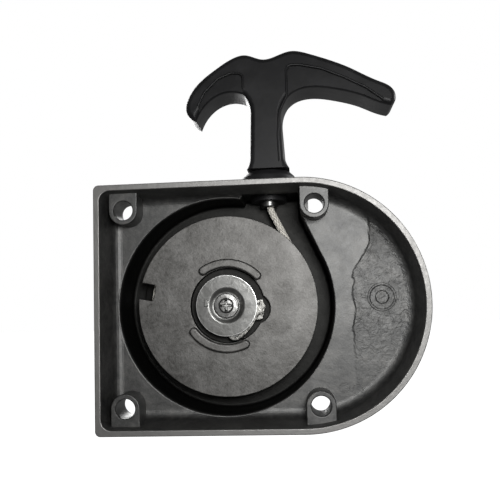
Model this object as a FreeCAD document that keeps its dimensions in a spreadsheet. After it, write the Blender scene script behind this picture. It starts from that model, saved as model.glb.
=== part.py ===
"""Recoil starter of a small engine: die-cast housing, rope reel, pawl, friction plate and pull handle.

Frame: +Z points up to the pull handle, Y runs along the reel's axis and -Y faces the engine.  The origin is
the centre of the four mounting holes, on the faces of their bosses; the reel's axis is a little to their
+X side.  All sizes are millimetres.
"""
import FreeCAD, Part
import math
import os

import Sketcher
from FreeCAD import Placement, Rotation, Vector

# alias: value.  "_y" is a place along the reel's axis, "_z" a height, "_x" a place across.
SIZES = {
    "axis_x": 1.2, "half_height": 50.0, "end_centre_x": 32.6, "wall": 3.5, "corner": 2.2, "inner_corner": 4.0,
    "rim_y": -4.5, "floor_y": 10.5, "floor_back_y": 14.0, "floor_fillet": 2.5,
    "well_radius": 45.0, "well_wall": 3.3, "well_floor_y": 32.5, "back_y": 36.0,
    "channel_left_x": 8.7, "channel_right_x": 33.3, "channel_floor_y": 31.6, "channel_foot_z": 28.0,
    "throat_x": 40.6, "throat_z": 22.0, "throat_top_z": 38.0,
    "bolt_half_x": 39.0, "bolt_half_z": 40.0, "bolt_hole_radius": 3.9, "edge_break": 0.8, "lug_radius": 5.9,
    "post_radius": 6.0, "post_end_y": 17.3, "pilot_radius": 2.5, "pilot_depth": 14.0,
    "sleeve_radius": 7.0, "running_gap": 0.05,
    "reel_radius": 38.3, "reel_face_y": 16.5, "reel_back_y": 30.0, "flange": 2.6, "flange_taper": 0.5,
    "groove_radius": 29.0, "pocket_radius": 15.8, "pocket_floor_y": 19.5, "bush_radius": 9.5,
    "spring_room_radius": 24.0, "spring_room_y": 22.5, "hub_radius": 12.0,
    "rib_inner": 16.1, "rib_outer": 19.8, "rib_face_y": 13.9,
    "notch_angle": 169.0, "notch_width": 6.8, "notch_depth": 6.4,
    "recess_x": 11.9, "recess_z": -1.6, "recess_radius": 6.3,
    "knot_pocket_radius": 2.4, "knot_ring_radius": 26.5, "knot_angle": 200.0,
    "strip_width": 6.6, "strip_thick": 0.45, "strip_pitch": 1.5, "strip_inner": 12.9, "strip_turns": 7,
    "cover_thick": 0.6, "cover_inner": 13.0,
    "rope_radius": 1.5, "rope_ride_radius": 35.5, "coil_radius": 33.8, "rope_y": 23.0,
    "guide_x": 20.1, "guide_radius": 8.0, "guide_bottom_z": 44.4, "guide_bore": 1.9, "rope_joint_z": 50.0,
    "rope_mouth_z": 41.8,
    "collar_radius": 12.0, "collar_top_radius": 9.2, "collar_shoulder_z": 53.0, "collar_top_z": 57.4,
    "ferrule_inner": 2.3, "ferrule_outer": 3.9, "ferrule_deep": 3.6, "ferrule_foot_z": 42.8,
    "handle_base_z": 57.8, "handle_half_thick": 10.0, "stem_half_width": 6.7, "handle_round": 2.4,
    "panel_depth": 0.9,
    "rope_hole_radius": 1.8, "knot_room_radius": 4.6, "knot_room_z": 89.0,
    "knot_radius": 3.9, "retainer_radius": 4.4, "retainer_thick": 1.2,
    "plate_radius": 12.9, "plate_y": 12.8, "plate_thick": 0.8, "plate_dish": 0.9, "plate_dish_radius": 7.6,
    "washer_outer": 12.5, "washer_thick": 0.8,
    "friction_wire": 0.5, "friction_coil_radius": 4.9, "friction_turns": 1.2,
    "screw_head_radius": 5.3, "screw_head_height": 2.7, "screw_length": 12.0,
    "pawl_pin_ring": 12.0, "pawl_pin_angle": -75.0, "pawl_pin_radius": 1.6, "pawl_eye_radius": 3.1,
    "pawl_front_y": 13.95, "pawl_thick": 2.2, "pawl_tip_radius": 16.2, "pawl_spring_wire": 0.35,
}

doc = FreeCAD.newDocument("recoil_starter")
sheet = doc.addObject("Spreadsheet::Sheet", "Sizes")
for row, (alias, value) in enumerate(SIZES.items(), start=1):
    sheet.set(f"A{row}", alias)
    sheet.set(f"B{row}", str(value))
    sheet.setAlias(f"B{row}", alias)
doc.recompute()

pieces = []


def size(alias):
    """A value of the sheet."""
    return float(sheet.get(alias))


def polar(radius, degrees, y=0.0):
    """A point at a radius and angle about the reel's axis, counter-clockwise as the engine sees it."""
    turn = math.radians(degrees)
    return Vector(radius * math.cos(turn), y, radius * math.sin(turn))


def flat(radius, degrees):
    """The same point in a sketch of the XZ plane."""
    point = polar(radius, degrees)
    return Vector(point.x, point.z, 0)


# --- helpers for bodies and sketches ------------------------------------------------------------------

def new_body(name):
    body = doc.addObject("PartDesign::Body", name)
    body.Label = name
    body.Placement = Placement()
    pieces.append(body)
    return body


def sketch(body, name, role="XZ_Plane", place="0"):
    """An empty sketch on an origin plane; for XZ_Plane, place is the expression of its Y."""
    plane = next(f for f in body.Origin.OriginFeatures if f.Role == role)
    item = body.newObject("Sketcher::SketchObject", name)
    item.AttachmentSupport = (plane, "")
    item.MapMode = "FlatFace"
    sign = "-" if role == "XZ_Plane" else ""
    item.setExpression("AttachmentOffset.Base.z", f"{sign}({place})")
    return item


def line(item, start, end):
    item.addGeometry(Part.LineSegment(Vector(*start[:2], 0), Vector(*end[:2], 0)))


def arc(item, start, through, end):
    points = [Vector(p[0], p[1], 0) for p in (start, through, end)]
    item.addGeometry(Part.Arc(*points))


def circle(item, x, z, radius_alias):
    """A circle whose radius is bound to the sheet."""
    index = item.addGeometry(Part.Circle(Vector(x, z, 0), Vector(0, 0, 1), size(radius_alias)))
    constraint = item.addConstraint(Sketcher.Constraint("Radius", index, size(radius_alias)))
    item.setExpression(f"Constraints[{constraint}]", f"Sizes.{radius_alias}")


def polygon(item, points):
    for start, end in zip(points, points[1:] + points[:1]):
        line(item, start, end)


def extrude(body, kind, profile, length, reverse=False):
    """A Pad or Pocket of an expression's length; both run towards +Y unless reverse."""
    feature = body.newObject(f"PartDesign::{kind}", f"{profile.Name}_{kind}")
    feature.Profile = profile
    feature.setExpression("Length", length)
    feature.Reversed = (kind == "Pad") != reverse
    doc.recompute()
    return feature


def turned(body, kind, profile, axis="V_Axis"):
    """A Revolution or Groove of a full turn about a sketch axis."""
    feature = body.newObject(f"PartDesign::{kind}", f"{profile.Name}_{kind}")
    feature.Profile = profile
    feature.ReferenceAxis = (profile, [axis])
    feature.Angle = 360.0
    doc.recompute()
    return feature


def edges_where(shape, test):
    """The names of the edges whose middle passes a test."""
    names = []
    for number, edge in enumerate(shape.Edges, start=1):
        if test(edge, edge.CenterOfMass):
            names.append(f"Edge{number}")
    return names


def dress(body, kind, test, amount):
    """A Fillet or Chamfer on the body's edges that pass a test, its size an expression."""
    base = body.Tip
    feature = body.newObject(f"PartDesign::{kind}", f"{body.Name}_{kind}_{len(body.Group)}")
    feature.Base = (base, edges_where(base.Shape, test))
    feature.setExpression("Radius" if kind == "Fillet" else "Size", amount)
    doc.recompute()
    return feature


def ring(name, radius, bore, start_y, length, x="0", z="0"):
    """A plain ring along Y, made of two bound cylinders."""
    outer = doc.addObject("Part::Cylinder", f"{name}_outer")
    inner = doc.addObject("Part::Cylinder", f"{name}_bore")
    for item, expression in ((outer, radius), (inner, bore)):
        item.setExpression("Radius", expression)
        item.setExpression("Height", length)
        item.Placement = Placement(Vector(), Rotation(Vector(1, 0, 0), -90))
        item.setExpression("Placement.Base.x", x)
        item.setExpression("Placement.Base.y", start_y)
        item.setExpression("Placement.Base.z", z)
    piece = doc.addObject("Part::Cut", name)
    piece.Base = outer
    piece.Tool = inner
    piece.Label = name
    pieces.append(piece)
    return piece


def feature(name, shape):
    """A piece set from Part's own functions, for sweeps and spirals."""
    piece = doc.addObject("Part::Feature", name)
    piece.Shape = shape
    piece.Label = name
    piece.Placement = Placement()
    pieces.append(piece)
    return piece


# --- housing -------------------------------------------------------------------------------------------

def tray_outline(item, inset, corner):
    """The housing's outline, flat on the left and round on the right, moved in by an inset."""
    half = size("half_height") - inset
    centre = size("end_centre_x")
    diagonal = corner * (1 - math.sqrt(0.5))
    for side in (1, -1):
        line(item, (centre, side * half), (corner - half, side * half))
        arc(item, (corner - half, side * half), (diagonal - half, side * (half - diagonal)),
            (-half, side * (half - corner)))
    line(item, (-half, half - corner), (-half, corner - half))
    arc(item, (centre, -half), (centre + half, 0), (centre, half))


def lug_outline(item, x, z):
    """A mounting lug: round towards the middle, flat against the nearest long wall."""
    radius = size("lug_radius")
    side = math.copysign(1, z)
    wall = side * (size("half_height") - size("wall") / 2)
    line(item, (x - radius, z), (x - radius, wall))
    line(item, (x - radius, wall), (x + radius, wall))
    line(item, (x + radius, wall), (x + radius, z))
    arc(item, (x + radius, z), (x, z - side * radius), (x - radius, z))


def make_housing():
    body = new_body("housing")
    outer = sketch(body, "tray", place="Sizes.rim_y")
    tray_outline(outer, 0.0, size("corner"))
    extrude(body, "Pad", outer, "Sizes.floor_back_y - Sizes.rim_y")
    cup = sketch(body, "cup", place="Sizes.floor_back_y - 1")
    axis = size("axis_x")
    index = cup.addGeometry(Part.Circle(Vector(axis, 0, 0), Vector(0, 0, 1),
                                        size("well_radius") + size("well_wall")))
    bound = cup.addConstraint(Sketcher.Constraint("Radius", index, size("well_radius")))
    cup.setExpression(f"Constraints[{bound}]", "Sizes.well_radius + Sizes.well_wall")
    extrude(body, "Pad", cup, "Sizes.back_y - Sizes.floor_back_y + 1")
    bulge = sketch(body, "bulge", place="Sizes.floor_back_y - 1")
    left = size("channel_left_x") - size("wall")
    right = size("channel_right_x") + size("wall")
    throat = size("throat_x") + size("wall")
    polygon(bulge, [(left, 0), (throat, 0), (throat, size("throat_z")), (right, size("throat_top_z")),
                    (right, size("half_height")), (left, size("half_height"))])
    extrude(body, "Pad", bulge, "Sizes.channel_floor_y + Sizes.wall - Sizes.floor_back_y + 1")
    hollow = sketch(body, "hollow", place="Sizes.rim_y")
    tray_outline(hollow, size("wall"), size("inner_corner"))
    extrude(body, "Pocket", hollow, "Sizes.floor_y - Sizes.rim_y")
    floor_y = size("floor_y")
    dress(body, "Fillet", lambda edge, mid: abs(mid.y - floor_y) < 0.01 and edge.BoundBox.YLength < 0.01,
          "Sizes.floor_fillet")
    well = sketch(body, "well", place="Sizes.floor_y")
    circle(well, axis, 0, "well_radius")
    extrude(body, "Pocket", well, "Sizes.well_floor_y - Sizes.floor_y")
    channel = sketch(body, "channel", place="Sizes.floor_y")
    top = size("half_height") - size("wall")
    foot = size("channel_foot_z")
    polygon(channel, [(size("channel_left_x"), foot), (size("throat_x"), size("throat_z")),
                      (size("channel_right_x"), size("throat_top_z")), (size("channel_right_x"), top),
                      (size("channel_left_x"), top)])
    extrude(body, "Pocket", channel, "Sizes.channel_floor_y - Sizes.floor_y")
    bolts = [(x, z) for x in (-size("bolt_half_x"), size("bolt_half_x"))
             for z in (-size("bolt_half_z"), size("bolt_half_z"))]
    for number, (x, z) in enumerate(bolts):
        lug = sketch(body, f"lug_{number}", place="0")
        lug_outline(lug, x, z)
        extrude(body, "Pad", lug, "Sizes.floor_back_y")
    holes = sketch(body, "bolt_holes", place="0")
    for x, z in bolts:
        circle(holes, x, z, "bolt_hole_radius")
    extrude(body, "Pocket", holes, "Sizes.back_y")
    post = sketch(body, "post", place="Sizes.post_end_y")
    circle(post, axis, 0, "post_radius")
    extrude(body, "Pad", post, "Sizes.well_floor_y + 1 - Sizes.post_end_y")
    pilot = sketch(body, "pilot", place="Sizes.post_end_y")
    circle(pilot, axis, 0, "pilot_radius")
    extrude(body, "Pocket", pilot, "Sizes.pilot_depth")
    guide = sketch(body, "guide_hole", role="XY_Plane", place="Sizes.half_height")
    circle(guide, size("guide_x"), size("rope_y"), "guide_radius")
    cut = extrude(body, "Pocket", guide, "Sizes.wall + 1")
    cut.Reversed = False
    doc.recompute()
    back_y = size("back_y")
    dress(body, "Chamfer", lambda edge, mid: abs(mid.y - back_y) < 0.01, "Sizes.edge_break")


# --- reel ------------------------------------------------------------------------------------------------

def rib_outline(item, start, end):
    """A raised arc rib with round ends, between two angles."""
    inner, outer = size("rib_inner"), size("rib_outer")
    middle, half = (inner + outer) / 2, (outer - inner) / 2
    reach = math.degrees(half / middle)
    centre = (start + end) / 2
    arc(item, flat(outer, start), flat(outer, centre), flat(outer, end))
    arc(item, flat(outer, end), flat(middle, end + reach), flat(inner, end))
    arc(item, flat(inner, end), flat(inner, centre), flat(inner, start))
    arc(item, flat(inner, start), flat(middle, start - reach), flat(outer, start))


def make_reel():
    body = new_body("reel")
    face, back = size("reel_face_y"), size("reel_back_y")
    rim, groove, taper = size("reel_radius"), size("groove_radius"), size("flange_taper")
    room, hub = size("spring_room_radius"), size("hub_radius")
    profile = sketch(body, "reel_profile", role="XY_Plane")
    polygon(profile, [
        (size("bush_radius"), size("pocket_floor_y")), (size("pocket_radius"), size("pocket_floor_y")),
        (size("pocket_radius"), face), (rim, face), (rim, face + size("flange") - taper),
        (groove, face + size("flange") + taper), (groove, back - size("flange") - taper),
        (rim, back - size("flange") + taper), (rim, back), (room, back), (room, size("spring_room_y")),
        (hub, size("spring_room_y")), (hub, back), (size("bush_radius"), back)])
    turned(body, "Revolution", profile)
    for number, (start, end) in enumerate(((43.5, 123.5), (216.5, 294.5))):
        rib = sketch(body, f"rib_{number}", place="Sizes.rib_face_y")
        rib_outline(rib, start, end)
        extrude(body, "Pad", rib, "Sizes.reel_face_y + 0.5 - Sizes.rib_face_y")
    recess = sketch(body, "pawl_recess", place="Sizes.reel_face_y")
    circle(recess, size("recess_x"), size("recess_z"), "recess_radius")
    extrude(body, "Pocket", recess, "Sizes.pocket_floor_y - Sizes.reel_face_y")
    notch = sketch(body, "rope_notch", place="Sizes.reel_face_y")
    along = flat(1, size("notch_angle"))
    across = Vector(-along.y, along.x, 0) * (size("notch_width") / 2)
    inner = along * (rim - size("notch_depth"))
    outer = along * (rim + 2)
    root = inner - along * 0.8
    line(notch, inner + across, outer + across)
    line(notch, outer + across, outer - across)
    line(notch, outer - across, inner - across)
    arc(notch, inner - across, root, inner + across)
    extrude(body, "Pocket", notch, "Sizes.flange + 0.5")
    knot = sketch(body, "knot_pocket", place="Sizes.spring_room_y")
    place = flat(size("knot_ring_radius"), size("knot_angle"))
    circle(knot, place.x, place.y, "knot_pocket_radius")
    extrude(body, "Pocket", knot, "Sizes.reel_back_y - Sizes.spring_room_y")
    pin = sketch(body, "pin_hole", place="Sizes.pocket_floor_y")
    place = flat(size("pawl_pin_ring"), size("pawl_pin_angle"))
    circle(pin, place.x, place.y, "pawl_pin_radius")
    extrude(body, "Pocket", pin, "2")


def make_reel_fittings():
    ring("post_sleeve", "Sizes.sleeve_radius", "Sizes.post_radius", "Sizes.post_end_y",
         "Sizes.well_floor_y - Sizes.post_end_y")
    ring("reel_bush", "Sizes.bush_radius", "Sizes.sleeve_radius + Sizes.running_gap", "Sizes.pocket_floor_y",
         "Sizes.reel_back_y - Sizes.pocket_floor_y")
    ring("thrust_washer", "Sizes.bush_radius - 0.2", "Sizes.sleeve_radius + 0.3",
         "Sizes.pocket_floor_y - Sizes.washer_thick", "Sizes.washer_thick")
    ring("spring_cover", "Sizes.knot_ring_radius + 3.5", "Sizes.cover_inner", "Sizes.reel_back_y",
         "Sizes.cover_thick")
    ring("rope_coil", "Sizes.coil_radius", "Sizes.groove_radius", "Sizes.reel_face_y + Sizes.flange + 0.7",
         "Sizes.reel_back_y - Sizes.reel_face_y - 2 * Sizes.flange - 1.4")
    knot = doc.addObject("Part::Sphere", "reel_knot")
    knot.setExpression("Radius", "Sizes.knot_pocket_radius - 0.2")
    spot = polar(size("knot_ring_radius"), size("knot_angle"), size("spring_room_y") + 2.6)
    knot.Placement = Placement(spot, Rotation())
    knot.Label = "reel_knot"
    pieces.append(knot)


def make_recoil_spring():
    """A flat strip wound in half circles that step out by half a pitch each half turn."""
    step = size("strip_pitch") / 2
    thick = size("strip_thick")
    sides = []
    for offset in (0.0, thick):
        edges = []
        radius = size("strip_inner") + offset
        end = Vector(radius, 0, 0)
        for half_turn in range(2 * int(size("strip_turns"))):
            side = 1 if half_turn % 2 == 0 else -1
            radius = size("strip_inner") + offset + half_turn * step
            far = Vector(end.x - side * 2 * (radius + step / 2), 0, 0)
            middle = (end + far) / 2
            reach = (end - far).Length / 2
            edges.append(Part.Arc(end, middle + Vector(0, 0, side * reach), far).toShape())
            end = far
        sides.append((edges, end))
    (inner, inner_end), (outer, outer_end) = sides
    start_cap = Part.makeLine(Vector(size("strip_inner"), 0, 0), Vector(size("strip_inner") + thick, 0, 0))
    end_cap = Part.makeLine(inner_end, outer_end)
    wire = Part.Wire(Part.__sortEdges__(inner + outer + [start_cap, end_cap]))
    strip = Part.Face(wire).extrude(Vector(0, size("strip_width"), 0))
    piece = feature("recoil_spring", strip)
    piece.Placement = Placement(Vector(0, size("spring_room_y") + 0.5, 0), Rotation())


# --- rope ------------------------------------------------------------------------------------------------

def rope_tube(name, points, bend):
    """A rope stretch: straight runs joined by tangent arcs of one bend radius."""
    edges = []
    start = points[0]
    for corner, after in zip(points[1:], points[2:]):
        towards = (start - corner).normalize()
        away = (after - corner).normalize()
        turn = math.pi - towards.getAngle(away)
        back = bend * math.tan(turn / 2)
        enter, leave = corner + towards * back, corner + away * back
        dip = bend / math.cos(turn / 2) - bend
        through = corner + (towards + away).normalize() * dip
        edges.append(Part.LineSegment(start, enter).toShape())
        edges.append(Part.Arc(enter, through, leave).toShape())
        start = leave
    edges.append(Part.LineSegment(start, points[-1]).toShape())
    path = Part.Wire(edges)
    direction = points[1] - points[0]
    section = Part.Wire(Part.makeCircle(size("rope_radius"), points[0], direction))
    tube = path.makePipeShell([section], True, False)
    expected = math.pi * size("rope_radius") ** 2 * path.Length
    print(f"{name}: length {path.Length:.1f} mm, bend {bend:.1f}, volume ratio {tube.Volume / expected:.3f}")
    return feature(name, tube)


def make_rope():
    x, y, ride = size("guide_x"), size("rope_y"), size("rope_ride_radius")
    mouth = Vector(x, y, size("rope_mouth_z"))
    centre = Vector(size("axis_x"), 0, 0)
    across = mouth.x - centre.x
    bearing = math.degrees(math.atan2(mouth.z, across) - math.acos(ride / math.hypot(across, mouth.z)))
    touch = centre + polar(ride, bearing, y)
    joint = Vector(x, y, size("rope_joint_z"))
    rope_tube("rope_lead", [joint, mouth, touch], 14.0)
    knot_z = size("knot_room_z")
    rope = doc.addObject("Part::Cylinder", "rope_pull")
    rope.setExpression("Radius", "Sizes.rope_radius")
    rope.Height = knot_z + size("retainer_thick") - joint.z
    rope.Placement = Placement(joint, Rotation())
    rope.Label = "rope_pull"
    pieces.append(rope)
    knot = doc.addObject("Part::Sphere", "handle_knot")
    knot.setExpression("Radius", "Sizes.knot_radius")
    knot.Placement = Placement(Vector(x, y, knot_z + size("retainer_thick") + size("knot_radius")), Rotation())
    knot.Label = "handle_knot"
    pieces.append(knot)


# --- rope guide, its ferrule and the handle --------------------------------------------------------------

def make_rope_guide():
    body = new_body("rope_guide")
    profile = sketch(body, "guide_profile", role="XZ_Plane")
    bore, foot = size("guide_bore"), size("guide_bottom_z")
    seat = foot + size("ferrule_deep")
    top_z, shoulder_z = size("collar_top_z"), size("collar_shoulder_z")
    collar, top = size("collar_radius"), size("collar_top_radius")
    under = size("half_height")
    points = [(bore, seat), (size("ferrule_outer"), seat), (size("ferrule_outer"), foot),
              (size("guide_radius"), foot), (size("guide_radius"), under), (collar, under),
              (collar, shoulder_z)]
    for start, end in zip(points, points[1:]):
        line(profile, start, end)
    lean = ((collar + top) / 2 + 0.6, (shoulder_z + top_z) / 2 + 0.7)
    arc(profile, (collar, shoulder_z), lean, (top, top_z))
    line(profile, (top, top_z), (bore, top_z))
    line(profile, (bore, top_z), (bore, seat))
    turned(body, "Revolution", profile)
    body.Placement = Placement(Vector(size("guide_x"), size("rope_y"), 0), Rotation())
    ferrule = new_body("guide_ferrule")
    section = sketch(ferrule, "ferrule_profile", role="XZ_Plane")
    inner, outer = size("ferrule_inner"), size("ferrule_outer")
    half = (outer - inner) / 2
    lip = size("ferrule_foot_z")
    line(section, (inner, seat), (outer, seat))
    line(section, (outer, seat), (outer, lip))
    arc(section, (outer, lip), (outer - half, lip - half), (inner, lip))
    line(section, (inner, lip), (inner, seat))
    turned(ferrule, "Revolution", section)
    ferrule.Placement = Placement(Vector(size("guide_x"), size("rope_y"), 0), Rotation())


def spline(item, points):
    curve = Part.BSplineCurve()
    curve.interpolate([Vector(x, z, 0) for x, z in points])
    item.addGeometry(curve)


def handle_panels(body, name, place, reverse):
    """The recessed panels of one face: both run out at the underside of their arm."""
    panels = sketch(body, name, place=place)
    right_foot, right_end = (9.4, 84.0), (50.4, 74.0)
    line(panels, right_foot, (9.4, 98.4))
    arc(panels, (9.4, 98.4), (10.6, 101.0), (13.4, 102.0))
    spline(panels, [(13.4, 102.0), (24.2, 99.4), (42.6, 90.2), (49.4, 84.6)])
    line(panels, (49.4, 84.6), right_end)
    line(panels, right_end, (9.4, 74.0))
    line(panels, (9.4, 74.0), right_foot)
    line(panels, (-9.6, 74.0), (-9.6, 97.2))
    arc(panels, (-9.6, 97.2), (-10.8, 99.4), (-13.6, 99.6))
    spline(panels, [(-13.6, 99.6), (-20.0, 97.6), (-26.6, 91.4), (-29.0, 84.6)])
    line(panels, (-29.0, 84.6), (-29.0, 74.0))
    line(panels, (-29.0, 74.0), (-9.6, 74.0))
    extrude(body, "Pocket", panels, "Sizes.panel_depth", reverse)


def make_handle():
    """A lop-sided T: a short left arm, a long right arm, both hooked at their ends, on a flat stem."""
    body = new_body("handle")
    stem, base = size("stem_half_width"), size("handle_base_z")
    profile = sketch(body, "handle_outline", place="Sizes.rope_y - Sizes.handle_half_thick")
    left_tip, right_tip = (-30.2, 79.6), (53.2, 82.6)
    left_root, right_root = (-stem - 2.6, 90.4), (stem + 2.4, 87.6)
    left_stem, right_stem = (-stem, 81.0), (stem, 78.5)
    spline(profile, [left_tip, (-34.7, 85.6), (-33.3, 90.6), (-28.3, 97.2), (-21.5, 102.4), (-14.8, 106.5),
                     (-8.2, 108.1), (-0.7, 105.8), (5.6, 107.2), (11.3, 108.8), (19.8, 107.0), (36.6, 100.0),
                     (48.0, 93.8), (54.4, 89.6), (55.4, 86.2), right_tip])
    spline(profile, [right_tip, (48.6, 84.0), (41.3, 87.4), (31.0, 90.6), (21.4, 92.2), (14.0, 91.2), right_root])
    spline(profile, [right_root, (stem + 0.7, 84.0), right_stem])
    line(profile, right_stem, (stem + 0.8, base + 6))
    arc(profile, (stem + 0.8, base + 6), (stem + 1.2, base + 2.8), (stem + 2.6, base))
    line(profile, (stem + 2.6, base), (-stem - 2.2, base))
    arc(profile, (-stem - 2.2, base), (-stem - 0.95, base + 2.8), (-stem - 0.6, base + 6))
    line(profile, (-stem - 0.6, base + 6), left_stem)
    spline(profile, [left_stem, (-stem - 0.6, 86.4), left_root])
    spline(profile, [left_root, (-15.4, 91.8), (-21.4, 90.2), (-26.4, 86.2), left_tip])
    extrude(body, "Pad", profile, "2 * Sizes.handle_half_thick")
    front = size("rope_y") - size("handle_half_thick")
    back = size("rope_y") + size("handle_half_thick")
    dress(body, "Fillet", lambda edge, mid: (abs(mid.y - front) < 0.01 or abs(mid.y - back) < 0.01)
          and mid.z > base + 0.1, "Sizes.handle_round")
    handle_panels(body, "front_panels", "Sizes.rope_y - Sizes.handle_half_thick", False)
    handle_panels(body, "back_panels", "Sizes.rope_y + Sizes.handle_half_thick", True)
    bore = sketch(body, "rope_bore", role="XY_Plane", place="Sizes.handle_base_z")
    circle(bore, 0, size("rope_y"), "rope_hole_radius")
    cut = extrude(body, "Pocket", bore, "60")
    cut.Reversed = True
    room = sketch(body, "knot_room", role="XY_Plane", place="Sizes.knot_room_z")
    circle(room, 0, size("rope_y"), "knot_room_radius")
    cut = extrude(body, "Pocket", room, "60")
    cut.Reversed = True
    doc.recompute()
    body.Placement = Placement(Vector(size("guide_x"), 0, 0), Rotation())
    retainer = doc.addObject("Part::Cylinder", "retainer_disc")
    retainer.setExpression("Radius", "Sizes.retainer_radius")
    retainer.setExpression("Height", "Sizes.retainer_thick")
    hole = doc.addObject("Part::Cylinder", "retainer_hole")
    hole.setExpression("Radius", "Sizes.rope_radius")
    hole.setExpression("Height", "Sizes.retainer_thick")
    piece = doc.addObject("Part::Cut", "rope_retainer")
    piece.Base, piece.Tool = retainer, hole
    piece.Placement = Placement(Vector(size("guide_x"), size("rope_y"), size("knot_room_z")), Rotation())
    piece.Label = "rope_retainer"
    pieces.append(piece)


# --- friction plate, its screw and the pawl --------------------------------------------------------------

def make_friction_plate():
    body = new_body("friction_plate")
    radius, front, thick = size("plate_radius"), size("plate_y"), size("plate_thick")
    dish, near = size("plate_dish"), size("plate_dish_radius")
    bore = size("pilot_radius") + 0.15
    profile = sketch(body, "plate_profile", role="XY_Plane")
    polygon(profile, [(bore, front + dish), (near - 1.2, front + dish), (near, front), (radius, front),
                      (radius, front + thick), (near + 0.3, front + thick), (near - 0.8, front + dish + thick),
                      (bore, front + dish + thick)])
    turned(body, "Revolution", profile)
    tab = sketch(body, "tab", place="Sizes.plate_y - 0.7")
    polygon(tab, [(-9.3, -0.2), (-7.8, -0.2), (-7.8, 2.8), (-9.3, 2.8)])
    extrude(body, "Pad", tab, "1")


def make_centre_screw():
    body = new_body("centre_screw")
    head, seat = size("screw_head_radius"), size("plate_y") + size("plate_dish")
    top = seat - size("screw_head_height")
    profile = sketch(body, "screw_profile", role="XY_Plane")
    end = size("post_end_y") + size("screw_length")
    shank = size("pilot_radius")
    line(profile, (0, top), (head - 1.9, top))
    arc(profile, (head - 1.9, top), (head - 0.55, top + 0.6), (head, top + 1.7))
    line(profile, (head, top + 1.7), (head, seat))
    line(profile, (head, seat), (shank, seat))
    line(profile, (shank, seat), (shank, end))
    line(profile, (shank, end), (0, end))
    line(profile, (0, end), (0, top))
    turned(body, "Revolution", profile)
    cross = sketch(body, "cross_recess", place=f"{top}")
    arm, half = 2.6, 0.55
    corners = [(half, arm), (-half, arm), (-half, half), (-arm, half), (-arm, -half), (-half, -half),
               (-half, -arm), (half, -arm), (half, -half), (arm, -half), (arm, half), (half, half)]
    polygon(cross, corners)
    extrude(body, "Pocket", cross, "1.6")


def make_friction_spring():
    """A short coil spring round the screw, between the post and the friction plate."""
    wire = size("friction_wire")
    front = size("plate_y") + size("plate_dish") + size("plate_thick") + wire + 0.35
    length = size("post_end_y") - wire - 0.1 - front
    helix = Part.makeHelix(length / size("friction_turns"), length, size("friction_coil_radius"))
    start = Vector(size("friction_coil_radius"), 0, 0)
    section = Part.Wire(Part.makeCircle(wire, start, Vector(0, 1, 0)))
    coil = Part.Wire(helix.Edges).makePipeShell([section], True, True)
    piece = feature("friction_spring", coil)
    piece.Placement = Placement(Vector(0, front, 0), Rotation(Vector(1, 0, 0), -90))


def make_pawl():
    """A curved steel lever on a pin, whose tip shows past the friction plate's edge."""
    body = new_body("pawl")
    eye, ring_radius, turn = size("pawl_eye_radius"), size("pawl_pin_ring"), size("pawl_pin_angle")
    tip = size("pawl_tip_radius")
    pivot = flat(ring_radius, turn)
    inner, outer = 10.4, 13.6
    profile = sketch(body, "pawl_outline", place="Sizes.pawl_front_y")
    start_out, start_in = pivot + flat(eye, turn + 12), pivot + flat(eye, 132)
    arc(profile, start_out, pivot + flat(eye, turn - 150 + 12), start_in)
    arc(profile, start_out, flat(outer + 0.4, -46), flat(outer, -28))
    line(profile, flat(outer, -28), flat(tip, -22))
    line(profile, flat(tip, -22), flat(tip + 0.2, -3))
    line(profile, flat(tip + 0.2, -3), flat(tip - 0.8, 9))
    line(profile, flat(tip - 0.8, 9), flat(inner + 1.6, 9))
    arc(profile, flat(inner + 1.6, 9), flat(inner, -25), start_in)
    extrude(body, "Pad", profile, "Sizes.pawl_thick")
    hole = sketch(body, "pawl_hole", place="Sizes.pawl_front_y")
    index = hole.addGeometry(Part.Circle(pivot, Vector(0, 0, 1), size("pawl_pin_radius")))
    bound = hole.addConstraint(Sketcher.Constraint("Radius", index, size("pawl_pin_radius")))
    hole.setExpression(f"Constraints[{bound}]", "Sizes.pawl_pin_radius + Sizes.running_gap")
    extrude(body, "Pocket", hole, "Sizes.pawl_thick")
    pin = doc.addObject("Part::Cylinder", "pawl_pin")
    pin.setExpression("Radius", "Sizes.pawl_pin_radius")
    pin.setExpression("Height", "Sizes.pocket_floor_y + 2 - Sizes.pawl_front_y")
    place = Vector(pivot.x, size("pawl_front_y"), pivot.y)
    pin.Placement = Placement(place, Rotation(Vector(1, 0, 0), -90))
    pin.Label = "pawl_pin"
    pieces.append(pin)
    wire = size("pawl_spring_wire")
    coil = doc.addObject("Part::Torus", "pawl_spring_coil")
    coil.Radius1, coil.Radius2 = size("pawl_pin_radius") + wire + 0.1, wire
    leg = doc.addObject("Part::Cylinder", "pawl_spring_leg")
    leg.Radius, leg.Height = 0.9 * wire, 4.2
    leg.Placement = Placement(Vector(0, size("pawl_pin_radius") + wire + 0.1, 0), Rotation(Vector(0, 1, 0), 90))
    spring = doc.addObject("Part::MultiFuse", "pawl_spring")
    spring.Shapes = [coil, leg]
    height = size("pawl_front_y") + size("pawl_thick") + 1.3
    spring.Placement = Placement(Vector(pivot.x, height, pivot.y), Rotation(Vector(1, 0, 0), -90))
    spring.Label = "pawl_spring"
    pieces.append(spring)


def stand_on_axis():
    """Move the reel, the clutch and their fittings to the reel's axis, and leave the rest."""
    off_axis = {"housing", "rope_lead", "rope_pull", "handle_knot", "rope_guide", "guide_ferrule", "handle",
                "rope_retainer"}
    for piece in pieces:
        if piece.Label not in off_axis:
            piece.Placement.Base = piece.Placement.Base + Vector(size("axis_x"), 0, 0)
    doc.recompute()


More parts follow.
